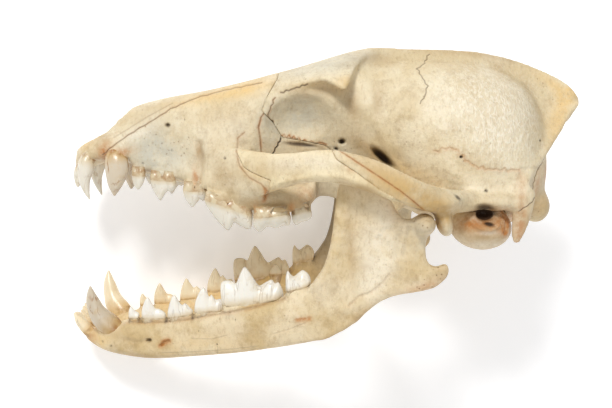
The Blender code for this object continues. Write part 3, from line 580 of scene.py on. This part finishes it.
UPPER_CROWNS = {
    "first_premolar": (15.4, 3.8, [(-66.9, 12.5), (-66.3, 9.4), (-64.6, 7.0), (-62.7, 9.0), (-61.5, 12.1)]),
    "second_premolar": (16.6, 4.4, [(-59.8, 11.0), (-58.9, 7.6), (-57.1, 4.5), (-55.8, 3.0), (-54.1, 5.3),
                                    (-52.9, 6.6), (-51.8, 6.2), (-50.2, 7.6), (-49.8, 10.3)]),
    "third_premolar": (19.4, 5.0, [(-46.8, 7.0), (-46.1, 4.0), (-44.5, 1.7), (-43.1, 0.6), (-41.5, 2.4),
                                   (-40.3, 3.6), (-39.2, 3.0), (-37.7, 4.4), (-37.3, 6.6)]),
    "carnassial": (24.2, 6.4, [(-38.2, 3.7), (-37.4, 1.5), (-35.6, -1.1), (-32.9, -4.5), (-29.6, -7.6),
                               (-28.1, -6.4), (-27.0, -4.7), (-24.7, -6.0), (-21.2, -7.3), (-20.2, -4.5),
                               (-20.1, -1.5)]),
    "first_molar": (27.0, 8.2, [(-19.8, -2.5), (-19.6, -5.8), (-17.5, -8.1), (-15.7, -7.1), (-14.2, -6.0),
                                (-10.9, -6.6), (-8.6, -5.6), (-6.3, -5.5), (-5.6, -3.2), (-6.0, -1.4)]),
    "second_molar": (23.4, 6.6, [(-5.6, -1.7), (-4.9, -4.7), (-3.4, -5.9), (-1.7, -4.7), (0.4, -4.2),
                                 (1.5, -3.6), (2.3, -2.1), (1.9, -0.2)]),
}
UPPER_POINTS = {
    "first_incisor": [(-85.6, 19.4, 2.6, 1.6, 1.7), (-89.4, 14.6, 2.6, 1.9, 2.1),
                      (-90.6, 11.2, 2.6, 1.5, 1.8), (-91.0, 8.4, 2.4, 0.5, 0.7)],
    "second_incisor": [(-84.8, 19.4, 6.2, 1.7, 1.8), (-88.3, 14.8, 6.4, 2.1, 2.2),
                       (-89.4, 11.0, 6.6, 1.7, 1.9), (-89.6, 7.4, 6.6, 0.5, 0.7)],
    "third_incisor": [(-82.0, 21.4, 8.6, 2.2, 2.2), (-84.8, 18.1, 10.2, 2.9, 2.9),
                      (-85.4, 15.0, 11.0, 3.2, 3.0), (-85.9, 10.4, 11.6, 2.3, 2.2),
                      (-85.2, 6.4, 11.8, 1.3, 1.3), (-84.0, 2.8, 11.6, 0.25, 0.25)],
    "canine": [(-69.6, 24.2, 12.4, 2.2, 1.8), (-72.2, 19.5, 16.2, 4.2, 3.2), (-72.1, 14.6, 17.6, 4.5, 3.3),
               (-72.7, 9.2, 18.4, 2.9, 2.4), (-73.1, 4.8, 18.4, 0.4, 0.4)],
    "carnassial_inner": [(-33.6, 7, 22.0, 2.6, 2.6), (-34.2, 2.2, 21.4, 3.0, 3.0),
                         (-34.4, -1.4, 21.0, 0.9, 0.9)],
    "first_molar_inner": [(-12.9, 4, 21.6, 4.0, 4.4), (-13.0, -1.6, 21.0, 4.6, 5.0),
                          (-13.2, -4.6, 20.4, 2.4, 2.4)],
    "second_molar_inner": [(-1.6, 4, 19.2, 2.6, 3.4), (-1.6, -1.0, 18.8, 3.0, 3.8),
                           (-1.7, -3.6, 18.4, 1.6, 1.8)],
}
nose_seam = jagged([(-78.0, 20.1), (-73.7, 23.6), (-67.9, 27.9), (-60.2, 32.9), (-52.5, 37.9), (-42.8, 42.1),
                    (-31.3, 45.2), (-17.0, 47.9)], 0.18, 2.2)
front_seam = [(-73.5, 27.0), (-69.6, 29.3), (-62, 34.6), (-52, 40)]
tear_seam = [(-14.4, 38.0), (-16.9, 34.5), (-17.9, 30.7), (-17.2, 26.2), (-16.8, 20.3)]
eye_crack = [(-9.4, 27.3), (-9.7, 25.6), (-10.4, 25.1), (-10.6, 23.8), (-11.6, 22.8), (-11.9, 21.6),
             (-12.8, 20.5)]
cheek_front = [(-23.2, 28.9), (-25.8, 26.7), (-25.8, 21.9), (-24.3, 16.8), (-20.6, 12.7), (-16.2, 10.5),
               (-14.0, 7.9), (-15.5, 4.3)]
cheek_foot = [(-14.6, 8.5), (-14.6, 6.6), (-15.6, 4.0)]
eye_rim = [(-15.0, 41.0), (-16.9, 38.0), (-19.0, 33.7), (-19.8, 28.6), (-19.6, 23.5)]
fang_hollow = [(-47.6, 23.4), (-45.4, 16.8), (-44.2, 10.5)]
nerve_trough = [(-41.0, 24.6), (-40.4, 19.5), (-40.6, 14.6), (-41.2, 10.8)]
nerve_ridge = [(-37.4, 26.5), (-37.2, 20.0), (-37.6, 13.5), (-38.6, 7.5)]
muzzle = grown_bone("muzzle", "muzzle_bone", 0.62, 4, ["braincase", "cheekbone_left", "cheekbone_right"],
                    trimmed(UPPER_CROWNS, UPPER_POINTS, -1, 1.2))
weather(
    muzzle,
    # The small dark share of the nerve's trough is painted shade.
    grooves=[
        Groove(nose_seam, 0.22, 0.3, 0.35, 0.5), Groove(tear_seam, 0.25, 0.35, 0.75, 0.4),
        Groove(eye_crack, 0.26, 0.9, 0.1, 1.0), Groove(cheek_front, 0.25, 0.1, 0.45, 0.3),
        Groove(cheek_foot, 0.5, 0.1, 0.9, 0.0), Groove(eye_rim, 1.3, -0.5),
        Groove(fang_hollow, 3.4, 0.9), Groove(nerve_trough, 1.3, 1.3, 0.1, 0.08),
        Groove(nerve_ridge, 1.7, -0.7), Groove([(-66, 34.5), (-58, 33.6), (-50, 35.5)], 3.0, 0.35),
        Groove(front_seam, 0.25, 0.15, 0.1, 0.2),
        # Roots of the largest cheek tooth under the thin bone, and the dip between them
        Groove([(-31, 5), (-31, 10), (-29.6, 14)], 1.6, -0.35),
        Groove([(-24.6, 3.5), (-23.6, 8.5)], 1.4, -0.3), Groove([(-27.6, 3.6), (-26.9, 9)], 1.0, 0.3),
    ],
    # The pits' dark insides are painted shade.
    pits=[
        # Pores of the face, and the long hollow behind the last tooth
        Pit(-53.2, 31.6, 0.95, 0.65, -10, 2.0, 1.0), Pit(-30.2, 19.5, 0.55, 0.35, 0, 0.9, 0.9),
        Pit(-51.5, 22, 0.35, 0.3, 0, 0.5, 0.5), Pit(-62.5, 17.0, 0.35, 0.35, 0, 0.5, 0.6),
        Pit(-46.5, 33.6, 0.3, 0.3, 0, 0.4, 0.5), Pit(-2.0, 24.2, 6.2, 0.8, -6, 1.2, 0.9),
    ],
    stains=[
        # Front end, over the fang and the small front teeth; the dark near the middle is painted shade inside
        # the nose's opening
        Stain(-77.6, 21.6, 2.2, 4.0, -30, "rust", 0.95), Stain(-71, 20.9, 4.6, 1.7, 14, "rust", 0.85),
        Stain(-75.5, 17.5, 2.4, 2.4, 0, "rust", 0.5), Stain(-86.5, 18.5, 4.5, 2.6, 30, "tan", 0.6),
        Stain(-88.5, 13.5, 1.4, 3.2, 0, "rust", 0.6), Stain(-86, 24, 5, 3, 30, "yellow", 0.5),
        Stain(-82, 30, 6, 8, 20, "tan", 0.5), Stain(-80, 28.5, 5.5, 4.2, 35, "dirt", 0.85, (0, 7.2)),
        # Side of the nose; its grey is partly the bone's own and partly painted shade of the face's hollow
        Stain(-60, 23, 8, 12, -20, "grey", 0.85), Stain(-52, 19, 10, 7, 0, "grey", 0.7),
        Stain(-57, 23, 15, 10, -15, "spots", 0.15), Stain(-65, 28, 7, 2.6, 35, "pale", 0.6),
        Stain(-36, 42.6, 22, 2.6, 11, "yellow", 0.65), Stain(-22, 46, 8, 3, 12, "yellow", 0.55),
        Stain(-55, 39, 14, 2.2, 22, "tan", 0.35),
        # Before and under the eye; the dark near the middle at the back is painted shade of the skull's
        # inside
        Stain(-42.3, 12.3, 0.9, 3.4, 8, "rust", 0.8), Stain(-41, 22, 1.2, 3, 0, "tan", 0.8),
        Stain(-30, 14, 10, 9, 0, "tan", 0.42), Stain(-29, 30, 12, 6, 0, "pale", 0.35),
        Stain(-14, 14, 10, 3, -8, "yellow", 0.4), Stain(-12.5, 32, 6, 9, 0, "grey", 0.8),
        Stain(-3, 24.5, 8, 1.6, -4, "tan", 0.7), Stain(4, 8, 9, 10, 0, "dirt", 0.3, (0, 15)),
        # Along the tooth sockets; the tan band over the first molar is painted shade under the cheek arch
        Stain(-49, 8.6, 20, 1.6, -22, "rust", 0.38), Stain(-29, 1.6, 9, 1.6, -20, "rust", 0.4),
        Stain(-18.7, -0.5, 1.2, 3.4, 0, "rust", 0.6), Stain(-5.4, 0.4, 1.2, 2.6, 0, "rust", 0.7),
        Stain(0, 5.5, 5, 4, 0, "rust", 0.45), Stain(-12, 1.6, 13, 2.4, -3, "tan", 0.8),
    ],
)
muzzle.data.materials.append(
    bone_material("face_bone", (0.77, 0.67, 0.47), (0.66, 0.53, 0.32), (0.43, 0.31, 0.16))
)
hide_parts("muzzle")
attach(muzzle, "root")

# Cheekbones
# The middle of each cheek arch, a bent strap of dense bone, wedged between the upper jaw and
# the braincase's arm. Handling has left it smoother than the rest.
cheek_material = bone_material("cheek_bone", (0.79, 0.67, 0.43), (0.68, 0.53, 0.29), (0.45, 0.32, 0.15), 0.44)
for side in ("left", "right"):
    cheek = grown_bone(f"cheekbone_{side}", f"cheekbone_{side}_bone", 0.42, 4, ["muzzle", "braincase"])
    weather(
        cheek,
        # The hollow under the ridge is darkened a little as painted shade.
        grooves=[Groove(cheek_seam, 0.2, 0.15, 0.9, 0.3), Groove(cheek_front, 0.25, 0.1, 0.45, 0.3),
                 Groove(cheek_foot, 0.5, 0.1, 0.9, 0.0),
                 Groove([(-14, 9.4), (-6, 12.2), (3, 14.2), (12, 14.2), (21, 11.4), (30, 6.8)], 1.1, -0.7),
                 Groove([(-12, 6.4), (-4, 9.4), (5, 11.2), (14, 11.0)], 1.3, 0.6, 0.15, 0.05)],
        # The pale band along the arch's middle is a painted highlight, and the tan bands along its lower edge
        # are painted shade.
        stains=[Stain(0, 19, 16, 3.6, 3, "pale", 0.6), Stain(16, 17, 2.4, 1.6, 0, "rust", 0.45),
                Stain(-18, 18, 4, 9, 10, "tan", 0.35), Stain(4, 8.6, 18, 2.0, 6, "tan", 0.75),
                Stain(26, 6, 10, 1.8, -30, "tan", 0.75), Stain(-17, 24, 4, 3, 0, "yellow", 0.4),
                Stain(-20.5, 27, 2.4, 3, 0, "grey", 0.5), Stain(-8, 17, 5, 2.4, 0, "tan", 0.35)],
    )
    cheek.data.materials.append(cheek_material)
    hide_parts(f"cheekbone_{side}")
    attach(cheek, "root")

# Ear capsules
# The thin blown bone round each middle ear, with the mouth of the ear passage in its side.
# The passage is painted dark brown as its shade, and its rim is stained brown.
capsule_material = bone_material("capsule_bone", (0.76, 0.65, 0.45), (0.60, 0.44, 0.25), (0.38, 0.24, 0.11))
for side in ("left", "right"):
    capsule = grown_bone(f"ear_capsule_{side}", f"ear_capsule_{side}_bone", 0.36, 3, ["braincase"])
    weather(
        capsule,
        grooves=[Groove([(61.6, -4.4), (64.4, -6.6), (68, -7.3), (71.6, -5.6)], 0.7, -0.7),
                 Groove([(73.4, -1.6), (75.2, -3.4), (74.4, -8.4)], 0.7, 0.6, 0.9, 0.1),
                 Groove([(58, -10), (66, -12.6), (74, -11)], 1.4, 0.2, 0.0, 0.0)],
        # The pit's dark inside is painted shade.
        pits=[Pit(67.9, -5.0, 2.0, 0.7, -14, 1.4, 0.9)],
        # The dark brown over the passage's mouth is painted shade of the passage.
        stains=[Stain(66.4, -1.2, 3.9, 2.9, 0, "dirt", 0.95, (0, 28.6)),
                Stain(66.4, -1.0, 4.3, 3.2, 0, "dirt", 0.8),
                Stain(66.4, -4.2, 6.8, 3.4, 0, "rust", 0.9), Stain(74, -5, 3.4, 4.4, 0, "rust", 0.7),
                Stain(60, -5, 3.6, 3, 0, "rust", 0.55), Stain(66, -9, 11, 4, 0, "tan", 0.7),
                Stain(67, -13, 8, 2, 0, "pale", 0.4), Stain(68, -8.2, 5, 0.9, 0, "pale", 0.7)],
    )
    capsule.data.materials.append(capsule_material)
    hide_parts(f"ear_capsule_{side}")
    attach(capsule, "root")

# Lower jaw
# Two halves that meet at the chin with only gristle between them. The whole jaw lies a little
# turned against the skull. Denser bone than the skull's, and yellower.
hinge = Matrix.Translation((-20, -45, 24))
ajar = Matrix.Rotation(math.radians(-1.8), 4, "Y") @ Matrix.Rotation(math.radians(2.4), 4, "X")
TO_JAW = TO_ROW @ hinge @ ajar @ hinge.inverted()
LOWER_CROWNS = {
    "first_premolar": (11.6, 3.6, [(-70.3, -44.4), (-70.1, -41.7), (-69.2, -40.2), (-67.6, -41.9),
                                   (-66.2, -42.7), (-66.0, -44.4)]),
    "second_premolar": (13.4, 4.2, [(-64.7, -44.1), (-64.4, -40.2), (-62.4, -36.2), (-60.7, -38.3),
                                    (-59.3, -40.4), (-58.0, -40.6), (-56.4, -41.4), (-55.3, -42.5),
                                    (-54.9, -44.1)]),
    "third_premolar": (15.8, 4.6, [(-54.2, -43.2), (-53.6, -39.0), (-51.6, -34.6), (-49.9, -36.5),
                                   (-48.4, -38.4), (-47.1, -37.8), (-45.3, -39.4), (-44.2, -40.5),
                                   (-44.0, -42.0)]),
    "fourth_premolar": (18.9, 5.4, [(-43.2, -40.1), (-42.5, -35.7), (-39.8, -30.9), (-38.1, -33.0),
                                    (-37.3, -34.4), (-36.4, -33.7), (-34.9, -35.5), (-33.0, -35.3),
                                    (-31.6, -37.2), (-31.3, -39.5)]),
    "carnassial": (23.4, 8.2, [(-32.0, -36.4), (-32.4, -31.1), (-32.0, -28.1), (-30.1, -27.2),
                               (-27.9, -27.5), (-26.4, -28.1), (-24.9, -24.7), (-23.2, -22.1),
                               (-21.1, -24.3), (-18.8, -27.9), (-17.5, -29.0), (-15.8, -28.1),
                               (-13.1, -26.8), (-11.7, -28.1), (-10.2, -27.9), (-8.7, -31.1),
                               (-8.7, -33.9)]),
    "second_molar": (28.2, 6.8, [(-7.4, -29.7), (-7.4, -24.7), (-6.6, -22.4), (-5.4, -23.7), (-4.3, -24.3),
                                 (-2.6, -23.0), (-1.0, -22.1), (1.0, -23.4), (1.9, -25.4), (1.7, -27.6)]),
}
LOWER_POINTS = {
    "first_incisor": [(-84.4, -54.6, 2.4, 1.6, 1.4), (-88.8, -50.6, 2.4, 1.5, 1.5),
                      (-91.4, -47.0, 2.3, 1.1, 1.5), (-92.4, -44.8, 2.3, 0.4, 0.9)],
    "second_incisor": [(-84.4, -54.4, 4.8, 1.7, 1.5), (-88.8, -50.2, 4.9, 1.7, 1.7),
                       (-91.4, -46.4, 5.1, 1.3, 1.6), (-92.5, -44.0, 5.2, 0.4, 0.9)],
    "third_incisor": [(-84.0, -54.4, 7.0, 1.9, 1.7), (-87.8, -50.6, 7.6, 2.2, 1.9),
                      (-90.6, -46.7, 8.2, 1.8, 1.8), (-92.4, -43.4, 8.4, 0.5, 0.9)],
    "canine": [(-74.4, -52.6, 8.8, 3.6, 3.0), (-78.0, -48.0, 10.8, 4.6, 3.6), (-80.9, -44.4, 12.4, 4.1, 3.4),
               (-82.6, -40.8, 13.8, 3.2, 2.8), (-83.6, -37.0, 14.8, 2.5, 2.2),
               (-84.0, -34.0, 15.4, 1.5, 1.4), (-84.1, -31.2, 15.8, 0.3, 0.3)],
    "carnassial_inner": [(-14.2, -38, 21.0, 2.4, 2.0), (-14.2, -33, 20.4, 2.8, 2.2),
                         (-14.3, -29.2, 20.0, 0.8, 0.8)],
}
jaw_material = bone_material("jaw_bone", (0.79, 0.66, 0.44), (0.63, 0.475, 0.245), (0.40, 0.27, 0.12), 0.46)
# Dark brown dabs at both ends of each lower crown are painted shade in the gaps between the teeth.
sockets = [Stain(x, y - 0.3, 0.6, 1.1, 0, "dirt", 0.6, (z - 5, z + 5))
           for z, _, outline in LOWER_CROWNS.values() for x, y in (outline[0], outline[-1])]
right_half = (-50, -1)
gum_line = [(-74, -46.2), (-64, -45.6), (-54, -44.6), (-44, -42.6), (-33, -39.6), (-20, -36.4), (-8, -32.2)]
branch_edge = [(15.8, 12), (14.8, 3), (13.7, -6), (11.5, -14), (9, -21), (4, -27)]
muscle_line = [(16.0, -33.2), (19.5, -29.6), (23.9, -27.8), (28.2, -24.2), (30.4, -21.3)]
for side in ("left", "right"):
    jaw = grown_bone(f"mandible_{side}", f"mandible_{side}_bone", 0.6, 4,
                     ["mandible_right" if side == "left" else "mandible_left"],
                     trimmed(LOWER_CROWNS, LOWER_POINTS, 1, 0.0, TO_JAW))
    weather(
        jaw,
        grooves=[
            # Round the nerve holes at the chin, and along the tooth sockets
            Groove([(-61.5, -52.8), (-66.7, -53.2), (-70.5, -52.8)], 0.9, 0.5, 0.0, 0.1),
            Groove([(-56.8, -54.2), (-55.4, -52.6), (-53.4, -51.9)], 0.55, 0.7, 1.0, 0.25),
            Groove([(-2.8, -39.6), (-0.6, -39.2), (1.6, -38.8)], 0.5, 0.15, 1.0, 0.0),
            Groove(gum_line, 0.5, 0.35, 0.35, 0.25),
            # Front edge of the rising branch and the hollow behind it
            Groove(branch_edge, 1.7, -0.6),
            Groove([(19, 5), (17.4, -5), (16, -13), (14.6, -22)], 2.2, 0.65),
            # Under the hinge, where the grooves' small dark share is painted shade in their hollows
            Groove([(26.6, -8.0), (28.1, -5.2), (31.7, -4.1), (36.6, -4.1)], 0.8, 0.3, 0.0, 0.05),
            Groove([(26.6, -8.0), (28.1, -9.8), (31.0, -11.3)], 0.9, 0.25, 0.0, 0.03),
            Groove([(37.2, -4.2), (36.1, -9.2), (35.4, -14.2)], 0.8, 0.35, 0.0, 0.16),
            Groove([(33.9, -6.4), (33.2, -11.4), (32.5, -15.0)], 1.2, 0.3, 0.0, 0.10),
            Groove([(40.5, -4.5), (39.6, -10), (39.4, -16)], 1.3, -0.3),
            Groove([(31.1, -17.0), (34.2, -15.9), (38.2, -15.2)], 1.2, -0.25),
            # Where the chewing muscle ends
            Groove(muscle_line, 0.4, 0.3, 0.1, 0.15),
            Groove([(10, -36), (18, -33.4), (26, -29.2), (33, -25.6)], 1.5, -0.45),
            # Hairline cracks
            Groove([(-58, -57.4), (-45, -55.8), (-33, -54.0), (-18, -51.0)], 0.22, 0.12, 0.0, 0.22),
            Groove([(-44, -50.2), (-36, -49.6), (-30, -47.6)], 0.2, 0.1, 0.0, 0.2),
            Groove([(-34, -55.6), (-33.6, -53), (-34.2, -51.4)], 0.2, 0.12, 0.0, 0.25),
            Groove([(-12, -45.6), (-6, -43.4), (0, -40.6)], 0.25, 0.12, 0.1, 0.1),
        ],
        # The pits' dark insides are painted shade.
        pits=[
            Pit(-61.6, -52.4, 1.2, 0.75, 10, 1.8, 0.55), Pit(-77, -55.5, 0.5, 0.4, 0, 0.6, 0.6),
            Pit(-80.5, -54.0, 0.4, 0.4, 0, 0.5, 0.6), Pit(-33.8, -51.5, 0.3, 0.3, 0, 0.4, 0.8),
            Pit(-26.5, -41.4, 0.35, 0.3, 0, 0.4, 0.7), Pit(-14.8, -52.2, 0.4, 0.3, 0, 0.4, 0.7),
            Pit(-41, -47.0, 0.3, 0.25, 0, 0.4, 0.7),
        ],
        stains=sockets + [
            # Chin and body
            Stain(-55, -52.8, 2.2, 1.5, 30, "rust", 0.5), Stain(-72, -51.5, 10, 2.6, 0, "tan", 0.35),
            Stain(-82, -54, 4, 4, 0, "yellow", 0.7), Stain(-86, -53, 2.4, 3, 0, "rust", 0.6),
            Stain(-66, -59.5, 14, 1.6, -2, "tan", 0.7), Stain(-38, -52.5, 26, 4, 5, "yellow", 0.35),
            Stain(-30, -55.6, 20, 1.6, 7, "tan", 0.6), Stain(-24, -46, 20, 5, 8, "tan", 0.25),
            Stain(4, -48.5, 12, 2, 18, "tan", 0.8),
            # Rising branch, with pale patches on its middle as painted highlights
            Stain(20, -38, 8, 2.2, 40, "tan", 0.6), Stain(27, -11, 8, 10, 0, "pale", 0.75),
            Stain(24, -24, 8, 6, 30, "pale", 0.5), Stain(6, -26, 6, 7, 20, "pale", 0.35),
            Stain(16.6, -12, 1.6, 14, 4, "tan", 0.5), Stain(20, 14, 8, 5, 0, "tan", 0.45),
            Stain(32, 2, 5, 3, -50, "rust", 0.2), Stain(22, -18.6, 2.6, 1.4, 10, "tan", 0.6),
            # Hook at the rear corner, and the hinge
            Stain(46, -23.5, 8, 3.0, 20, "spots", 0.95), Stain(44, -25.6, 9, 1.8, 16, "rust", 0.55),
            Stain(50, -19, 2.6, 3, 0, "spots", 0.8), Stain(50, -21, 4, 4, 0, "tan", 0.5),
            Stain(41.5, -2.6, 4.6, 2.2, 0, "spots", 0.9), Stain(41, -6, 4, 7, 0, "grey", 0.55),
            Stain(43, -3, 5, 4, 0, "tan", 0.4),
            # Only the right half, whose inner face shows; the dark behind its branch's front edge is painted
            # shade
            Stain(-6, -34, 30, 10, 14, "yellow", 0.9, right_half),
            Stain(-50, -44, 34, 6, 8, "yellow", 0.7, right_half),
            Stain(6, -10, 9, 20, 0, "dirt", 0.7, right_half),
        ],
        way=TO_JAW,
    )
    jaw.data.materials.append(jaw_material)
    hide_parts(f"mandible_{side}")
    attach(jaw, "root")

# Teeth
# Enamel crowns over yellow necks, each held in its socket by its roots. Every tooth is
# modelled for the left side and copied to the right.


def curve_through(points, per):
    """A smooth curve through points of any size, with per steps to each stretch."""
    points = [np.array(p, float) for p in points]
    made = []
    for i in range(len(points) - 1):
        before, a = points[max(i - 1, 0)], points[i]
        b, after = points[i + 1], points[min(i + 2, len(points) - 1)]
        for k in range(per):
            t = k / per
            made.append(0.5 * (2 * a + (b - before) * t + (2 * before - 5 * a + 4 * b - after) * t**2
                               + (3 * a - before - 3 * b + after) * t**3))
    return made + [points[-1]]


def tooth_from(name, rings, heights, way):
    """A closed tooth through rings of points, painted by each point's height over the neck."""
    shape = bmesh.new()
    layer = shape.verts.layers.float_color.new("paint")
    loops = []
    for ring, high in zip(rings, heights):
        loop = []
        for place, tall in zip(ring, high):
            vertex = shape.verts.new(way @ Vector(place))
            vertex[layer] = (tall, 0, 0, 1)
            loop.append(vertex)
        loops.append(loop)
    for a, b in zip(loops, loops[1:]):
        for i in range(len(a)):
            j = (i + 1) % len(a)
            shape.faces.new((a[i], a[j], b[j], b[i]))
    for loop in (loops[0], loops[-1]):
        shape.faces.new(loop)
    bmesh.ops.triangulate(shape, faces=[f for f in shape.faces if len(f.verts) > 4])
    bmesh.ops.recalc_face_normals(shape, faces=shape.faces)
    for face in shape.faces:
        face.smooth = True
    mesh = bpy.data.meshes.new(name)
    shape.to_mesh(mesh)
    shape.free()
    tooth = bpy.data.objects.new(name, mesh)
    bpy.context.collection.objects.link(tooth)
    return tooth


ACROSS = 18
ROOT_INSET, ROOT_GAP, FORK = 0.06, 0.12, 0.25


def crown_rings(z, width, outline, up, deep, root_width):
    """Rings across a grinding tooth: sharp along the cusps, bulged under them, swollen low down.

    The outline closes round two roots, which part at the fork. u runs across the tooth from -1
    to 1: rise is how high the crown stands there, and length how long it is.
    """
    first, last = outline[0], outline[-1]
    span, middle = last[0] - first[0], (first[0] + last[0]) / 2
    tilt = (last[1] - first[1]) / span
    edge = [tuple(p) for p in curve_through(outline, 5)]
    waist = (first[1] + last[1]) / 2
    root = [(last[0] - ROOT_INSET * span, last[1] - up * deep), (middle + ROOT_GAP * span, waist - up * deep),
            (middle, waist - up * deep * FORK), (middle - ROOT_GAP * span, waist - up * deep),
            (first[0] + ROOT_INSET * span, first[1] - up * deep)]
    tallest = max(up * (y - first[1] - tilt * (x - first[0])) for x, y in edge)
    rings, heights = [], []
    for step in range(ACROSS + 1):
        u = math.sin((step / ACROSS - 0.5) * math.pi)
        rise = (1 - abs(u) ** 3.0) ** 0.9 * (1 - 0.36 * abs(u)) + 0.03
        length = 1 - 0.20 * abs(u) ** 2.6
        ring, high = [], []
        for x, y in edge + root:
            neck = first[1] + tilt * (x - first[0])
            over = max(0.0, up * (y - neck))
            bulge = root_width if (x, y) in root else 0.70 + 0.30 * (over / tallest) ** 0.7
            height = y if (x, y) in root else neck + (y - neck) * rise
            ring.append((middle + (x - middle) * length, height, z + u * width / 2 * bulge))
            high.append(0.0 if (x, y) in root else min(1.0, over * rise / tallest))
        rings.append(ring)
        heights.append(high)
    return rings, heights


THINNEST = 0.2


def peg_rings(stations, sides=24, per=6):
    """Rings along a pointed tooth, with its neck at the second station."""
    path = curve_through(stations, per)
    rings, heights = [], []
    for i, (x, y, z, long, wide) in enumerate(path):
        ahead, behind = path[min(i + 1, len(path) - 1)][:3], path[max(i - 1, 0)][:3]
        along = Vector(ahead - behind).normalized()
        up = Vector((0, 0, 1)).cross(along).normalized()
        side = along.cross(up)
        ring = []
        for k in range(sides):
            turn = 2 * math.pi * k / sides
            ring.append(Vector((x, y, z)) + up * (max(long, THINNEST) * math.cos(turn))
                        + side * (max(wide, THINNEST) * math.sin(turn)))
        rings.append(ring)
        heights.append([max(0.0, (i - per) / (len(path) - 1 - per))] * sides)
    return rings, heights


def enamel(name, white, neck, brown, cracked=0.3):
    """Glossy enamel that yellows towards the neck, with fine cracks and brown in its folds."""
    made = bpy.data.materials.new(name)
    made.use_nodes = True
    tree = made.node_tree
    shader = tree.nodes["Principled BSDF"]
    spots = tree.nodes.new("ShaderNodeTexCoord").outputs["Object"]
    tall = painted(tree, "paint")[0]
    height = sums(tree, "ADD", tall, times(tree, noise(tree, spots, 260, 3), 0.16))
    colour = blend(tree, levels(tree, height, 0.08, 0.34), neck, white)
    patches = levels(tree, noise(tree, spots, 180, 5, 0.65), 0.52, 0.74)
    colour = blend(tree, times(tree, patches, 0.6), colour, neck)
    folds = times(tree, levels(tree, height, 0.15, 0.05), levels(tree, noise(tree, spots, 330, 4), 0.42, 0.6))
    colour = blend(tree, times(tree, folds, 0.85), colour, brown)
    cracks = threads(tree, noise(tree, spots, 300, 3, 0.5, (1.0, 0.16, 1.0)), 0.022)
    cracks = times(tree, cracks, levels(tree, noise(tree, spots, 110, 2), 0.46, 0.56))
    colour = blend(tree, times(tree, cracks, cracked), colour, brown)
    link(tree, colour, shader.inputs["Base Color"])
    shader.inputs["Roughness"].default_value = 0.27
    shader.inputs["Subsurface Weight"].default_value = 0.10
    shader.inputs["Subsurface Radius"].default_value = (0.0016, 0.0012, 0.0008)
    relief(tree, shader, [(noise(tree, spots, 300, 4, 0.6, (1.0, 0.4, 1.0)), 0.0005, 0.45),
                          (times(tree, cracks, -1.0), 0.0002, 0.6)])
    return made


upper_enamel = enamel("upper_enamel", (0.76, 0.71, 0.60), (0.66, 0.55, 0.36), (0.34, 0.16, 0.05))
fang_enamel = enamel("fang_enamel", (0.62, 0.53, 0.40), (0.55, 0.37, 0.16), (0.32, 0.12, 0.02), 0.75)
lower_enamel = enamel("lower_enamel", (0.82, 0.79, 0.71), (0.64, 0.52, 0.33), (0.24, 0.12, 0.04))
yellowed_enamel = enamel("yellowed_enamel", (0.86, 0.74, 0.52), (0.70, 0.50, 0.25), (0.28, 0.13, 0.03))


def enamel_of(row, side, name):
    """The enamel of one tooth: brown fangs, yellow small front teeth and right row of the jaw."""
    if name == "canine" and (row, side) != ("lower", "right"):
        return fang_enamel
    if row == "lower" and (side == "right" or "incisor" in name):
        return yellowed_enamel
    return upper_enamel if row == "upper" else lower_enamel


ROOT_DEPTH = 3.6
rows = [("upper", UPPER_CROWNS, UPPER_POINTS, -1, 0.96, TO_ROW, "bone"),
        ("lower", LOWER_CROWNS, LOWER_POINTS, 1, 0.80, TO_JAW, "jaw_bone")]
for row, crowns, points, up, root_width, way, slot in rows:
    shapes = {}
    for name, (z, width, outline) in crowns.items():
        shapes[name] = crown_rings(z, width, outline, up, ROOT_DEPTH, root_width)
    for name, stations in points.items():
        shapes[name] = peg_rings(stations)
    for name, (rings, heights) in shapes.items():
        for side, mirror in (("left", 1), ("right", -1)):
            placed = [[(p[0], p[1], p[2] * mirror) for p in ring] for ring in rings]
            tooth = tooth_from(f"{row}_{side}_{name}", placed, heights, way)
            tooth.data.materials.append(enamel_of(row, side, name))
            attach(tooth, "root")

# Floor, light and camera
# A white sheet, broad soft lamps from above, and the camera square to the skull's left side
# with its crown leaning a little towards it.
bpy.ops.mesh.primitive_plane_add(size=6, location=(0, 0, 0))
floor = bpy.context.object
floor.name = "floor"
white = bpy.data.materials.new("white_sheet")
white.use_nodes = True
sheet = white.node_tree.nodes["Principled BSDF"].inputs
sheet["Base Color"].default_value = (0.93, 0.93, 0.94, 1)
sheet["Roughness"].default_value = 0.9
# The sheet glows a little, so that the shadows on it stay as faint as in the photograph.
sheet["Emission Color"].default_value = (1, 1, 1, 1)
sheet["Emission Strength"].default_value = 0.26
floor.data.materials.append(white)

# The camera's distance is in the skull's own millimetres.
AWAY = 400.0
lean = Matrix.Rotation(math.radians(-5.0), 4, "X")
camera = bpy.data.objects.new("camera", bpy.data.cameras.new("camera"))
bpy.context.collection.objects.link(camera)
camera.data.sensor_width = 36
camera.data.lens = 58.8
camera.data.clip_start = 0.02
camera.matrix_world = Matrix.Translation(TO_ROW @ lean @ Vector((0, 0, AWAY))) @ LIE @ lean
bpy.context.scene.camera = camera

world = bpy.data.worlds.new("studio")
world.use_nodes = True
world.node_tree.nodes["Background"].inputs["Color"].default_value = (1, 1, 1, 1)
world.node_tree.nodes["Background"].inputs["Strength"].default_value = 0.50
bpy.context.scene.world = world
lamps = (("key", (-0.42, 0.62, 0.95), 0.26, 8.6), ("fill", (0.1, -0.8, 0.9), 0.7, 3.6))
for name, place, size, power in lamps:
    lamp = bpy.data.objects.new(name, bpy.data.lights.new(name, "AREA"))
    lamp.data.size = size
    lamp.data.energy = power
    bpy.context.collection.objects.link(lamp)
    lamp.matrix_world = Matrix.Translation(place) @ Vector(place).to_track_quat("Z", "Y").to_matrix().to_4x4()
bpy.context.scene.view_settings.view_transform = "Standard"
